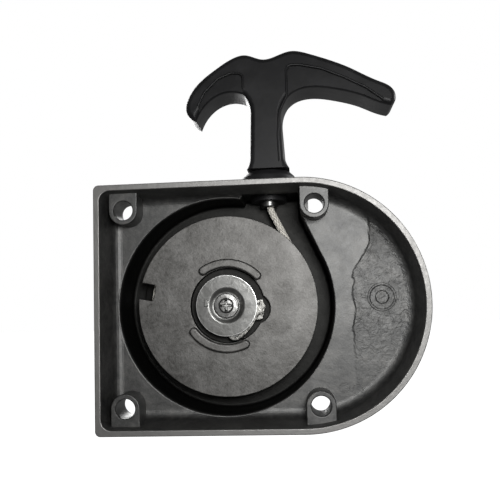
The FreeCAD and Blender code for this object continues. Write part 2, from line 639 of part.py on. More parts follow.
def check_and_export():
    doc.recompute()
    failed = [item.Name for item in doc.Objects if {"Invalid", "Error"} & set(item.State)]
    if failed:
        raise SystemExit(f"failed features: {failed}")
    for piece in pieces:
        shape = piece.Shape
        if shape.isNull() or not shape.isValid() or not shape.Solids:
            raise SystemExit(f"bad shape: {piece.Label}")
    os.makedirs("parts", exist_ok=True)
    for piece in pieces:
        shape = piece.Shape
        shape.exportStep(f"parts/{piece.Label}.step")
        box = shape.BoundBox
        print(f"{piece.Label:16s} solids {len(shape.Solids)} volume {shape.Volume:9.1f} "
              f"x {box.XMin:6.1f} {box.XMax:6.1f} y {box.YMin:6.1f} {box.YMax:6.1f} "
              f"z {box.ZMin:6.1f} {box.ZMax:6.1f}")


make_housing()
make_reel()
make_reel_fittings()
make_recoil_spring()
make_rope()
make_rope_guide()
make_handle()
make_friction_plate()
make_centre_screw()
make_friction_spring()
make_pawl()
stand_on_axis()
check_and_export()
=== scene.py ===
"""Recoil starter of a small engine, dressed for the studio.

The die-cast housing, the rope reel, the clutch parts, the rope and the pull handle are built on the places
that the frame gives, each with the soft edges that casting, pressing or moulding leaves, and each with its
own finish.  Sizes of the pieces are millimetres, as a maker's drawing has them; MM turns them into metres
where a mesh or a node needs them.
"""

import logging
import math
from collections.abc import Callable
from dataclasses import dataclass, field
from enum import Enum

import bmesh
import bpy
from bpy.types import Material, Mesh, Node, NodeOutputs, NodeSocket, NodeTree, Object
from mathutils import Euler, Matrix, Vector


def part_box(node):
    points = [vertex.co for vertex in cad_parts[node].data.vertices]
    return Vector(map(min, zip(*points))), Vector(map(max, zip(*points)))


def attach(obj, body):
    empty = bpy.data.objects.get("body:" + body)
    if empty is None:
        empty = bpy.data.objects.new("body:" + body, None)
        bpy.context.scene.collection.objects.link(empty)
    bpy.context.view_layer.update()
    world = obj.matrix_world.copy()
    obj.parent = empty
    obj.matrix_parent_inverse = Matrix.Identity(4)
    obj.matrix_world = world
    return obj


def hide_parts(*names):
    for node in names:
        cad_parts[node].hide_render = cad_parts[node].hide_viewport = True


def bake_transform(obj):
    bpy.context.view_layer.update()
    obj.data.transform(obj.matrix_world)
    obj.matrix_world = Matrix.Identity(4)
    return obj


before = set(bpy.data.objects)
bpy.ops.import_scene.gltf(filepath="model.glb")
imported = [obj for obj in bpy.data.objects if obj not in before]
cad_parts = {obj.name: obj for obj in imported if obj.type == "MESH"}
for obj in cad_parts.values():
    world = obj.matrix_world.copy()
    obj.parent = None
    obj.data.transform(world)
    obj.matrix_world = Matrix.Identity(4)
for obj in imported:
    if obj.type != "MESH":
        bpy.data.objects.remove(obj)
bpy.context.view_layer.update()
LOG = logging.getLogger("recoil_starter")
MM = 0.001
MATH = "ShaderNodeMath"
SHADER = "Principled BSDF"
AXIS_X = (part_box("reel_bush")[0][0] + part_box("reel_bush")[1][0]) / 2 / MM

Point = tuple[float, float]
Level = tuple[float, float]
Outline = Callable[[float], list[Point]]


class Body(Enum):
    """The bodies that the pieces ride on."""

    HOUSING = "housing"
    REEL = "reel"
    PLATE = "friction_plate"
    PAWL = "pawl"
    HANDLE = "handle"


class Join(Enum):
    """How a solid is joined to another."""

    ADD = "UNION"
    CUT = "DIFFERENCE"


# --- nodes -----------------------------------------------------------------------------------------------

def linear(hex_colour: str) -> tuple[float, float, float, float]:
    """Turn an sRGB hex colour into linear RGBA.

    Args:
        hex_colour: Six hex digits, such as "8c8c8a".

    Returns:
        The linear red, green, blue and an alpha of 1.
    """
    channels = [int(hex_colour[i:i + 2], 16) / 255 for i in (0, 2, 4)]
    curve = [c / 12.92 if c <= 0.04045 else ((c + 0.055) / 1.055) ** 2.4 for c in channels]
    return (curve[0], curve[1], curve[2], 1.0)


def add(tree: NodeTree, kind: str, inputs: dict | None = None,
        stops: list[tuple[float, str]] | None = None, **settings: object) -> Node:
    """Add a node with its settings and links.

    Args:
        tree: The node tree.
        kind: The node's type name, such as "ShaderNodeMath".
        inputs: Input name or number to a value, a socket, or a node whose first output feeds it.
        stops: Positions and hex colours, for a colour ramp.
        settings: Properties of the node.

    Returns:
        The new node.
    """
    node = tree.nodes.new(kind)
    for name, value in settings.items():
        setattr(node, name, value)
    for key, value in (inputs or {}).items():
        source = value.outputs[0] if isinstance(value, Node) else value
        if isinstance(source, NodeSocket):
            tree.links.new(source, node.inputs[key])
        else:
            node.inputs[key].default_value = source
    if stops:
        elements = node.color_ramp.elements
        while len(elements) < len(stops):
            elements.new(0.5)
        for element, (position, colour) in zip(elements, stops):
            element.position = position
            element.color = linear(colour)
    return node


# --- solids ----------------------------------------------------------------------------------------------

def new_object(name: str, mesh: Mesh) -> Object:
    """Put a mesh in the scene as an object at the origin."""
    obj = bpy.data.objects.new(name, mesh)
    bpy.context.scene.collection.objects.link(obj)
    return obj


def solid(name: str, shape: bmesh.types.BMesh) -> Object:
    """Turn a finished shape's faces outward and make it an object."""
    bmesh.ops.recalc_face_normals(shape, faces=shape.faces)
    mesh = bpy.data.meshes.new(name)
    shape.to_mesh(mesh)
    shape.free()
    return new_object(name, mesh)


def settle(obj: Object) -> Object:
    """Turn an object's modifiers into plain mesh.

    Args:
        obj: The object, which gives its name to the result.

    Returns:
        A new mesh object that stands in its place.
    """
    graph = bpy.context.evaluated_depsgraph_get()
    mesh = bpy.data.meshes.new_from_object(obj.evaluated_get(graph), depsgraph=graph)
    name = obj.name
    bpy.data.objects.remove(obj)
    return new_object(name, mesh)


def join(base: Object, tool: Object, how: Join) -> Object:
    """Add a solid to another or cut it out.

    Args:
        base: The solid that stays, and gives its name.
        tool: The solid that is used up.
        how: Whether it is added or cut.

    Returns:
        The joined solid.
    """
    modifier = base.modifiers.new("join", "BOOLEAN")
    modifier.operation = how.value
    modifier.object = tool
    modifier.solver = "EXACT"
    result = settle(base)
    bpy.data.objects.remove(tool)
    return result


def shade(obj: Object, sharp: float = 30.0) -> Object:
    """Weld a solid and shade it so that flats stay flat and rounds look round.

    Args:
        obj: The solid.
        sharp: Edges that turn by more than this many degrees stay sharp.

    Returns:
        The finished mesh object.
    """
    shape = bmesh.new()
    shape.from_mesh(obj.data)
    bmesh.ops.remove_doubles(shape, verts=shape.verts, dist=0.004 * MM)
    bmesh.ops.dissolve_degenerate(shape, edges=shape.edges, dist=0.002 * MM)
    shape.to_mesh(obj.data)
    shape.free()
    obj.data.polygons.foreach_set("use_smooth", [True] * len(obj.data.polygons))
    obj.data.set_sharp_from_angle(angle=math.radians(sharp))
    weight = obj.modifiers.new("weights", "WEIGHTED_NORMAL")
    weight.keep_sharp = True
    return settle(obj)


def rounding(y: float, radius: float, inward: int, flare: int = 1, steps: int = 4) -> list[Level]:
    """Give the levels of a quarter round between a face and a side wall.

    Args:
        y: Where the face is.
        radius: The round's radius.
        inward: 1 if the solid lies towards +Y of the face, and -1 if it lies towards -Y.
        flare: 1 for a solid that closes in at its face, and -1 for a cutter that opens out.
        steps: Flats across the round.

    Returns:
        The (y, inset) levels in the order that +Y has them.
    """
    levels = []
    for step in range(steps + 1):
        turn = math.radians(90 * step / steps)
        levels.append((y + inward * radius * (1 - math.cos(turn)), flare * radius * (1 - math.sin(turn))))
    return levels[::inward]


def loft(name: str, outline: Outline, levels: list[Level]) -> Object:
    """Raise a closed outline along Y.

    Args:
        name: The solid's name.
        outline: Gives the (x, z) loop for an inset, always with the same number of points.
        levels: The (y, inset) of each loop in turn.

    Returns:
        The closed solid.
    """
    shape = bmesh.new()
    loops = [[shape.verts.new((x * MM, y * MM, z * MM)) for x, z in outline(inset)] for y, inset in levels]
    for near, far in zip(loops, loops[1:]):
        for corner, after in zip(range(len(near)), [*range(1, len(near)), 0]):
            shape.faces.new((near[corner], near[after], far[after], far[corner]))
    shape.faces.new(loops[0])
    shape.faces.new(loops[-1])
    return solid(name, shape)


def turned(name: str, profile: list[Point], centre: Vector = Vector(), up: bool = False,
           sides: int = 192) -> Object:
    """Turn a closed (radius, place along the axis) profile on a lathe.

    Args:
        name: The solid's name.
        profile: The closed section, all of it off the axis or on it.
        centre: A point on the axis, in millimetres.
        up: Turn about Z instead of Y.
        sides: Flats round the solid.

    Returns:
        The closed solid.
    """
    shape = bmesh.new()
    loops = []
    for side in range(sides):
        turn = math.tau * side / sides
        across, side_on = math.cos(turn), math.sin(turn)
        spoke = Vector((across, side_on, 0)) if up else Vector((across, 0, side_on))
        axis = Vector((0, 0, 1)) if up else Vector((0, 1, 0))
        points = [(centre + spoke * radius + axis * place) * MM for radius, place in profile]
        loops.append([shape.verts.new(point) for point in points])
    for near, far in zip(loops, loops[1:] + loops[:1]):
        for corner in range(len(profile)):
            after = (corner + 1) % len(profile)
            shape.faces.new((near[corner], near[after], far[after], far[corner]))
    bmesh.ops.remove_doubles(shape, verts=shape.verts, dist=0.001 * MM)
    bmesh.ops.dissolve_degenerate(shape, edges=shape.edges, dist=0.001 * MM)
    return solid(name, shape)


def soft_corners(profile: list[Point], radius: float, steps: int = 3) -> list[Point]:
    """Round every corner of a closed section.

    Args:
        profile: The section's corners.
        radius: The round's radius, less where a side is short.
        steps: Flats across each round.

    Returns:
        The rounded section.
    """
    points = []
    count = len(profile)
    for index in range(count):
        corner = Vector(profile[index])
        before, after = Vector(profile[index - 1]) - corner, Vector(profile[(index + 1) % count]) - corner
        reach = min(radius, 0.45 * before.length, 0.45 * after.length)
        if corner.x < 0.01:
            points.append(tuple(corner))
            continue
        start, end = corner + before.normalized() * reach, corner + after.normalized() * reach
        for step in range(steps + 1):
            share = step / steps
            rest = 1 - share
            points.append(tuple(rest ** 2 * start + 2 * share * rest * corner + share ** 2 * end))
    return points


def on_axis(obj: Object) -> Object:
    """Move a piece that was made about X = 0 to the reel's axis."""
    obj.data.transform(Matrix.Translation((AXIS_X * MM, 0, 0)))
    return obj


def cast_copy(node: str, name: str, edge: float, segments: int = 2) -> Object:
    """Copy a CAD node and soften its edges.

    Args:
        node: The CAD node.
        name: The new piece's name.
        edge: Width of the rounding, in millimetres.
        segments: Flats across the rounding.

    Returns:
        The new piece.
    """
    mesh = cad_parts[node].data.copy()
    mesh.materials.clear()
    shape = bmesh.new()
    shape.from_mesh(mesh)
    bmesh.ops.remove_doubles(shape, verts=shape.verts, dist=0.002 * MM)
    bmesh.ops.dissolve_limit(shape, angle_limit=math.radians(0.3), verts=shape.verts, edges=shape.edges)
    shape.to_mesh(mesh)
    shape.free()
    obj = new_object(name, mesh)
    bevel = obj.modifiers.new("edges", "BEVEL")
    bevel.width = edge * MM
    bevel.segments = segments
    bevel.limit_method = "ANGLE"
    bevel.angle_limit = math.radians(28)
    return shade(settle(obj), 35.0)


def sweep(centre: Point, radius: float, start: float, end: float, steps: int) -> list[Point]:
    """Give the points of an arc from one angle to another, in degrees."""
    turns = [math.radians(start + (end - start) * step / steps) for step in range(steps + 1)]
    return [(centre[0] + radius * math.cos(turn), centre[1] + radius * math.sin(turn)) for turn in turns]


def disc(centre: Point, radius: float, steps: int = 96) -> Outline:
    """Give the outline of a round solid."""
    return lambda inset: sweep(centre, radius - inset, 0, 360, steps)[:-1]


def finish_piece(obj: Object, material: Material, body: Body, slot: str, *nodes: str) -> None:
    """Dress a piece, hide the CAD nodes it stands in for and hang it on the body it rides on.

    Args:
        obj: The piece.
        material: Its finish.
        body: The body it rides on.
        slot: The record's material slot. It is not used.
        nodes: CAD nodes it replaces.
    """
    obj.data.materials.clear()
    obj.data.materials.append(material)
    if nodes:
        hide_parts(*nodes)
    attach(obj, body.value)
    LOG.info("%s: %d faces on %s", obj.name, len(obj.data.polygons), body.value)


# --- finishes --------------------------------------------------------------------------------------------

@dataclass(frozen=True)
class Finish:
    """What every finish starts from: a Principled shader and the piece's own coordinates."""

    name: str

    def start(self) -> tuple[Material, NodeTree, NodeSocket]:
        """Make the material.

        Returns:
            The material, its tree and the Object coordinates.
        """
        material = bpy.data.materials.new(self.name)
        material.use_nodes = True
        tree = material.node_tree
        place = add(tree, "ShaderNodeTexCoord").outputs["Object"]
        return material, tree, place

    def noise(self, tree: NodeTree, place: NodeSocket, grain: float, detail: float = 3.0,
              rough: float = 0.5, warp: float = 0.0) -> NodeSocket:
        """Give a noise from 0 to 1.

        Args:
            tree: The node tree.
            place: Where the noise reads its coordinates.
            grain: The width of its blotches, in millimetres.
            detail: How many finer layers it has.
            rough: How strong those are.
            warp: How much it is pulled about.

        Returns:
            The noise's value.
        """
        node = add(tree, "ShaderNodeTexNoise", {"Vector": place, "Scale": 1 / (grain * MM), "Detail": detail,
                                                "Roughness": rough, "Distortion": warp})
        return node.outputs["Fac"]

    def from_line(self, tree: NodeTree, place: NodeSocket, x: float) -> NodeSocket:
        """Give the distance from a line along Y, in metres.

        Args:
            tree: The node tree.
            place: The piece's coordinates.
            x: Where the line crosses the X axis, in millimetres.

        Returns:
            The distance.
        """
        flat = add(tree, "ShaderNodeVectorMath", {0: place, 1: (1.0, 0.0, 1.0)}, operation="MULTIPLY")
        away = add(tree, "ShaderNodeVectorMath", {0: flat, 1: (x * MM, 0.0, 0.0)}, operation="DISTANCE")
        return away.outputs["Value"]

    def lay(self, tree: NodeTree, colour: NodeSocket, over: str, share: Node) -> NodeSocket:
        """Lay a hex colour over another where its share says so."""
        return add(tree, "ShaderNodeMix", {"Factor": share, 6: colour, 7: linear(over)},
                   data_type="RGBA").outputs[2]

    def dress(self, tree: NodeTree, colour: NodeSocket, rough: Node,
              layers: list[tuple[Node | NodeSocket, float]], metallic: float = 1.0) -> None:
        """Give the shader its colour, roughness, relief and metal.

        Args:
            tree: The node tree.
            colour: The base colour.
            rough: The node that gives the roughness.
            layers: The relief, as bump takes it.
            metallic: 1 for metal.
        """
        shader = tree.nodes[SHADER]
        tree.links.new(colour, shader.inputs["Base Color"])
        tree.links.new(rough.outputs[0], shader.inputs["Roughness"])
        tree.links.new(self.bump(tree, layers), shader.inputs["Normal"])
        shader.inputs["Metallic"].default_value = metallic

    def bump(self, tree: NodeTree, layers: list[tuple[Node | NodeSocket, float]]) -> NodeSocket:
        """Stack heights into one normal.

        Args:
            tree: The node tree.
            layers: Heights from 0 to 1, each with its real depth in millimetres.

        Returns:
            The last bump's normal.
        """
        normal = None
        for height, depth in layers:
            inputs = {"Height": height, "Distance": depth * MM, "Strength": 1.0}
            if normal is not None:
                inputs["Normal"] = normal
            normal = add(tree, "ShaderNodeBump", inputs).outputs["Normal"]
        return normal


@dataclass(frozen=True)
class DieCastAlloy(Finish):
    """Pressure die-cast aluminium alloy, as cast.

    Its skin is grey and mottled.  It can have a rim that is rubbed pale, painted shade with some grease on
    what lies deeper (only inside the well where one is given) and a front where the metal stopped flowing
    smoothly.
    """

    dark: str = "4c4c4c"
    mid: str = "616160"
    light: str = "787775"
    cloud: float = 9.0
    mottle: float = 2.2
    grain: float = 0.55
    rough: float = 0.54
    worn_y: Point | None = None
    worn: str = "8f8e8c"
    # Painted shade with some grease: surfaces deeper than this span of Y fade towards the dark colour below.
    shade_and_grease_y: Point = (11.0, 13.5)
    shade_and_stain: str = "20201f"
    well: tuple[float, float, float, float, float, float] | None = None
    flow: tuple[float, float, float, float] | None = None
    flow_dark: float = 0.5
    flow_waves: float = 4.0
    flow_edge: float = 1.2
    flow_depth: Point = (8.5, 10.2)
    flow_end: Point = (-34.0, -8.0)
    flow_dull: Point = (15.0, 29.0)
    end_centre: float = 32.6
    end_reach: float = 48.0

    def in_well(self, tree: NodeTree, place: NodeSocket,
                parts: Node) -> Node:
        """Tell the inside of the well, which gets painted shade with some grease, from the casting's outside.

        Args:
            tree: The node tree.
            place: The piece's coordinates.
            parts: The same, apart.

        Returns:
            The node that gives 1 inside the well and its channel.
        """
        radius, back, left, right, low, high = (part * MM for part in self.well)
        inside = add(tree, MATH, {0: self.from_line(tree, place, AXIS_X), 1: radius}, operation="LESS_THAN")
        spans = [add(tree, MATH, {0: parts.outputs[way], 1: (near + far) / 2, 2: (far - near) / 2},
                     operation="COMPARE") for way, near, far in (("X", left, right), ("Z", low, high))]
        channel = add(tree, MATH, {0: spans[0], 1: spans[1]}, operation="MULTIPLY")
        inside = add(tree, MATH, {0: inside, 1: channel}, operation="MAXIMUM")
        front = add(tree, MATH, {0: parts.outputs["Y"], 1: back}, operation="LESS_THAN")
        return add(tree, MATH, {0: inside, 1: front}, operation="MULTIPLY")

    def cold_flow(self, tree: NodeTree, place: NodeSocket, parts: Node,
                  wobble: NodeSocket) -> tuple[Node, Node]:
        """Draw the front where the metal stopped flowing smoothly.

        Args:
            tree: The node tree.
            place: The piece's coordinates.
            parts: The same, apart.
            wobble: A noise that makes the front wavy.

        Returns:
            The rough side of the front, and the dull patch at its upper end, each from 0 to 1.
        """
        low_z, high_z, low_x, high_x = (part * MM for part in self.flow)
        front = add(tree, "ShaderNodeMapRange", {"Value": parts.outputs["Z"], "From Min": low_z,
                                                 "From Max": high_z, "To Min": low_x, "To Max": high_x},
                    interpolation_type="SMOOTHSTEP")
        front = add(tree, MATH, {0: wobble, 1: self.flow_waves * MM, 2: front}, operation="MULTIPLY_ADD")
        beyond = add(tree, MATH, {0: parts.outputs["X"], 1: front}, operation="SUBTRACT")
        side = add(tree, "ShaderNodeMapRange", {"Value": beyond, "From Min": 0.0,
                                                "From Max": self.flow_edge * MM},
                   interpolation_type="SMOOTHSTEP")
        away = self.from_line(tree, place, self.end_centre)
        limits = [add(tree, MATH, {0: away, 1: self.end_reach * MM}, operation="LESS_THAN")]
        limits += [add(tree, "ShaderNodeMapRange", {"Value": parts.outputs[way], "From Min": near * MM,
                                                    "From Max": far * MM})
                   for way, (near, far) in (("Y", self.flow_depth), ("Z", self.flow_end),
                                            ("Z", self.flow_dull))]
        *kept, upper = limits
        for limit in kept:
            side = add(tree, MATH, {0: side, 1: limit}, operation="MULTIPLY")
        return side, add(tree, MATH, {0: side, 1: upper}, operation="MULTIPLY")

    def build(self) -> Material:
        """Make the alloy: clouds, mottle, fine grain, painted shade with some grease deeper in, a worn rim
        and cold flow if it has them.
        """
        material, tree, place = self.start()
        cloud = self.noise(tree, place, self.cloud, 3, 0.55, 0.5)
        patch = self.noise(tree, place, self.mottle, 5, 0.62, 0.3)
        fine = self.noise(tree, place, self.grain, 2, 0.6)
        mix = add(tree, MATH, {0: cloud, 1: 0.38, 2: 0.0}, operation="MULTIPLY_ADD")
        mix = add(tree, MATH, {0: patch, 1: 0.42, 2: mix}, operation="MULTIPLY_ADD")
        mix = add(tree, MATH, {0: fine, 1: 0.20, 2: mix}, operation="MULTIPLY_ADD")
        colour = add(tree, "ShaderNodeValToRGB", {"Fac": mix},
                     [(0.32, self.dark), (0.50, self.mid), (0.70, self.light)]).outputs["Color"]
        deep = add(tree, "ShaderNodeSeparateXYZ", {"Vector": place})
        # Painted shade with some grease: darker with depth, and only inside the well when one is given.
        start, end = (y * MM for y in self.shade_and_grease_y)
        shade_and_grease_share = add(tree, "ShaderNodeMapRange", {"Value": deep.outputs["Y"], "From Min": start,
                                                  "From Max": end, "To Max": 0.93})
        if self.well is not None:
            shade_and_grease_share = add(tree, MATH, {0: shade_and_grease_share, 1: self.in_well(tree, place, deep)}, operation="MULTIPLY")
        colour = self.lay(tree, colour, self.shade_and_stain, shade_and_grease_share)
        layers = [(patch, 0.10), (fine, 0.03)]
        if self.worn_y is not None:
            start, end = (y * MM for y in self.worn_y)
            pale_edge = add(tree, "ShaderNodeMapRange", {"Value": deep.outputs["Y"], "From Min": start,
                                                      "From Max": end, "To Min": 1.0, "To Max": 0.0})
            colour = self.lay(tree, colour, self.worn, pale_edge)
        if self.flow is not None:
            side, dull = self.cold_flow(tree, place, deep, cloud)
            # The same dark colour stains the dull patch at the cold flow's upper end; that patch is the
            # casting's own tone.
            dim = add(tree, MATH, {0: dull, 1: self.flow_dark}, operation="MULTIPLY")
            colour = self.lay(tree, colour, self.shade_and_stain, dim)
            lumps = self.noise(tree, place, 3.2, 4, 0.6, 1.2)
            layers += [(side, 0.10), (add(tree, MATH, {0: lumps, 1: side}, operation="MULTIPLY"), 0.5)]
        rough = add(tree, MATH, {0: patch, 1: 0.24, 2: self.rough - 0.12}, operation="MULTIPLY_ADD")
        self.dress(tree, colour, rough, layers)
        return material


@dataclass(frozen=True)
class PlatedSteel(Finish):
    """Zinc-plated sheet steel with bright and dull patches, hairline scratches and, where given, a painted
    highlight ring near its edge.
    """

    bright: str = "7a7a78"
    dull: str = "666664"
    rough: float = 0.42
    patches: float = 4.0
    # A painted highlight: a near-white ring that fades in over the width up to this radius and stays out to
    # the edge.
    pale_edge: Point | None = None
    painted_highlight: str = "eeeeec"

    def build(self) -> Material:
        """Make the plating, with a painted highlight beyond a radius if it has one."""
        material, tree, place = self.start()
        patch = self.noise(tree, place, self.patches, 4, 0.6, 0.6)
        scratch = self.noise(tree, place, 0.4, 2, 0.7, 2.0)
        colour = add(tree, "ShaderNodeValToRGB", {"Fac": patch}, [(0.38, self.dull), (0.56, self.bright)])
        colour = colour.outputs["Color"]
        if self.pale_edge is not None:
            radius, width = (part * MM for part in self.pale_edge)
            away = self.from_line(tree, place, AXIS_X)
            edge = add(tree, "ShaderNodeMapRange", {"Value": away, "From Min": radius - width,
                                                    "From Max": radius})
            colour = self.lay(tree, colour, self.painted_highlight, edge)
        rough = add(tree, MATH, {0: patch, 1: -0.3, 2: self.rough + 0.17}, operation="MULTIPLY_ADD")
        self.dress(tree, colour, rough, [(patch, 0.10), (scratch, 0.01)])
        return material


@dataclass(frozen=True)
class MouldedNylon(Finish):
    """Black glass-filled nylon, moulded: near black, satin, with scuffs and a fine spark-eroded grain."""

    colour: str = "121213"
    scuff: str = "1f1f20"
    rough: float = 0.5
    grain: float = 0.45

    def build(self) -> Material:
        """Make the nylon."""
        material, tree, place = self.start()
        cloud = self.noise(tree, place, 9.0, 4, 0.6, 0.4)
        grain = self.noise(tree, place, self.grain, 2, 0.5)
        colour = add(tree, "ShaderNodeValToRGB", {"Fac": cloud}, [(0.42, self.colour), (0.75, self.scuff)])
        rough = add(tree, MATH, {0: cloud, 1: 0.2, 2: self.rough - 0.1}, operation="MULTIPLY_ADD")
        self.dress(tree, colour.outputs["Color"], rough, [(grain, 0.015), (cloud, 0.06)], 0.0)
        shader = tree.nodes[SHADER]
        shader.inputs["IOR"].default_value = 1.53
        shader.inputs["Specular IOR Level"].default_value = 0.22
        return material


@dataclass(frozen=True)
class BraidedCord(Finish):
    """Braided polyester starter cord: pale yarns that cross over and under, a little greasy, with painted
    shade in the gaps between the yarns and a painted highlight on their crowns.

    The braid reads the along and around attributes that the cord's own tree stores, or, for the stretch that
    the handle pulls out, the cord's straight axis.
    """

    # The pale yarn colour, then the dark colour that paints shade into the gaps between the yarns.
    yarn: str = "dedad0"
    gap_shade: str = "2e2c29"
    strands: int = 6
    pitch: float = 2.6
    axis: Point | None = None

    def place_on_cord(self, tree: NodeTree,
                      place: NodeSocket) -> tuple[NodeSocket, NodeSocket]:
        """Find how far along and how far around the cord a point is.

        Args:
            tree: The node tree.
            place: The piece's coordinates.

        Returns:
            The distance along in metres and the share of a turn around.
        """
        if self.axis is None:
            along = add(tree, "ShaderNodeAttribute", attribute_name="along").outputs["Fac"]
            around = add(tree, "ShaderNodeAttribute", attribute_name="around").outputs["Fac"]
            return along, around
        parts = add(tree, "ShaderNodeSeparateXYZ", {"Vector": place})
        x = add(tree, MATH, {0: parts.outputs["X"], 1: self.axis[0] * MM}, operation="SUBTRACT")
        y = add(tree, MATH, {0: parts.outputs["Y"], 1: self.axis[1] * MM}, operation="SUBTRACT")
        turn = add(tree, MATH, {0: y, 1: x}, operation="ARCTAN2")
        around = add(tree, MATH, {0: turn, 1: 1 / math.tau, 2: 0.5}, operation="MULTIPLY_ADD")
        return parts.outputs["Z"], around.outputs[0]

    def build(self) -> Material:
        """Make the braid from two sets of slanting yarns, one over the other in turn, coloured from painted
        shade in the gaps to a painted highlight on the crowns.
        """
        material, tree, place = self.start()
        along, around = self.place_on_cord(tree, place)
        turns = add(tree, MATH, {0: around, 1: float(self.strands)}, operation="MULTIPLY")
        steps = add(tree, MATH, {0: along, 1: self.pitch * MM}, operation="DIVIDE")
        slants = [add(tree, MATH, {0: turns, 1: steps}, operation=way) for way in ("ADD", "SUBTRACT")]
        cells = [add(tree, MATH, {0: slant}, operation="FLOOR") for slant in slants]
        total = add(tree, MATH, {0: cells[0], 1: cells[1]}, operation="ADD")
        over = add(tree, MATH, {0: total, 1: 1.0}, operation="PINGPONG")
        rounds = []
        for slant in slants:
            share = add(tree, MATH, {0: slant}, operation="FRACT")
            arch = add(tree, MATH, {0: share, 1: math.pi}, operation="MULTIPLY")
            rounds.append(add(tree, MATH, {0: arch}, operation="SINE"))
        height = add(tree, "ShaderNodeMix", {"Factor": over, "A": rounds[0], "B": rounds[1]})
        ridge = add(tree, MATH, {0: height, 1: 0.6}, operation="POWER")
        fluff = self.noise(tree, place, 0.3, 3, 0.7)
        # Painted highlight and shade: the yarns' crowns are coloured lighter and the gaps between them
        # darker.
        crown_highlight = add(tree, MATH, {0: ridge, 1: 0.7}, operation="MULTIPLY")
        tone = add(tree, MATH, {0: fluff, 1: 0.5, 2: crown_highlight}, operation="MULTIPLY_ADD")
        colour = add(tree, "ShaderNodeValToRGB", {"Fac": tone}, [(0.25, self.gap_shade), (0.75, self.yarn)])
        shader = tree.nodes[SHADER]
        tree.links.new(colour.outputs["Color"], shader.inputs["Base Color"])
        tree.links.new(self.bump(tree, [(ridge, 0.22), (fluff, 0.06)]), shader.inputs["Normal"])
        shader.inputs["Roughness"].default_value = 0.85
        shader.inputs["Sheen Weight"].default_value = 0.2
        return material


@dataclass(frozen=True)
class TurnedMetal(Finish):
    """Plain turned or drawn metal of the working parts, such as spring steel or sintered bronze."""

    colour: str = "8a8a88"
    tint: str = "5e5e5c"
    rough: float = 0.35

    def build(self) -> Material:
        """Make the metal: slight colour drift and a fine tool grain."""
        material, tree, place = self.start()
        drift = self.noise(tree, place, 2.5, 4, 0.6)
        grain = self.noise(tree, place, 0.4, 2, 0.6)
        colour = add(tree, "ShaderNodeValToRGB", {"Fac": drift}, [(0.35, self.tint), (0.65, self.colour)])
        rough = add(tree, MATH, {0: drift, 1: 0.2, 2: self.rough - 0.1}, operation="MULTIPLY_ADD")
        self.dress(tree, colour.outputs["Color"], rough, [(grain, 0.02)])
        return material


# --- housing ---------------------------------------------------------------------------------------------

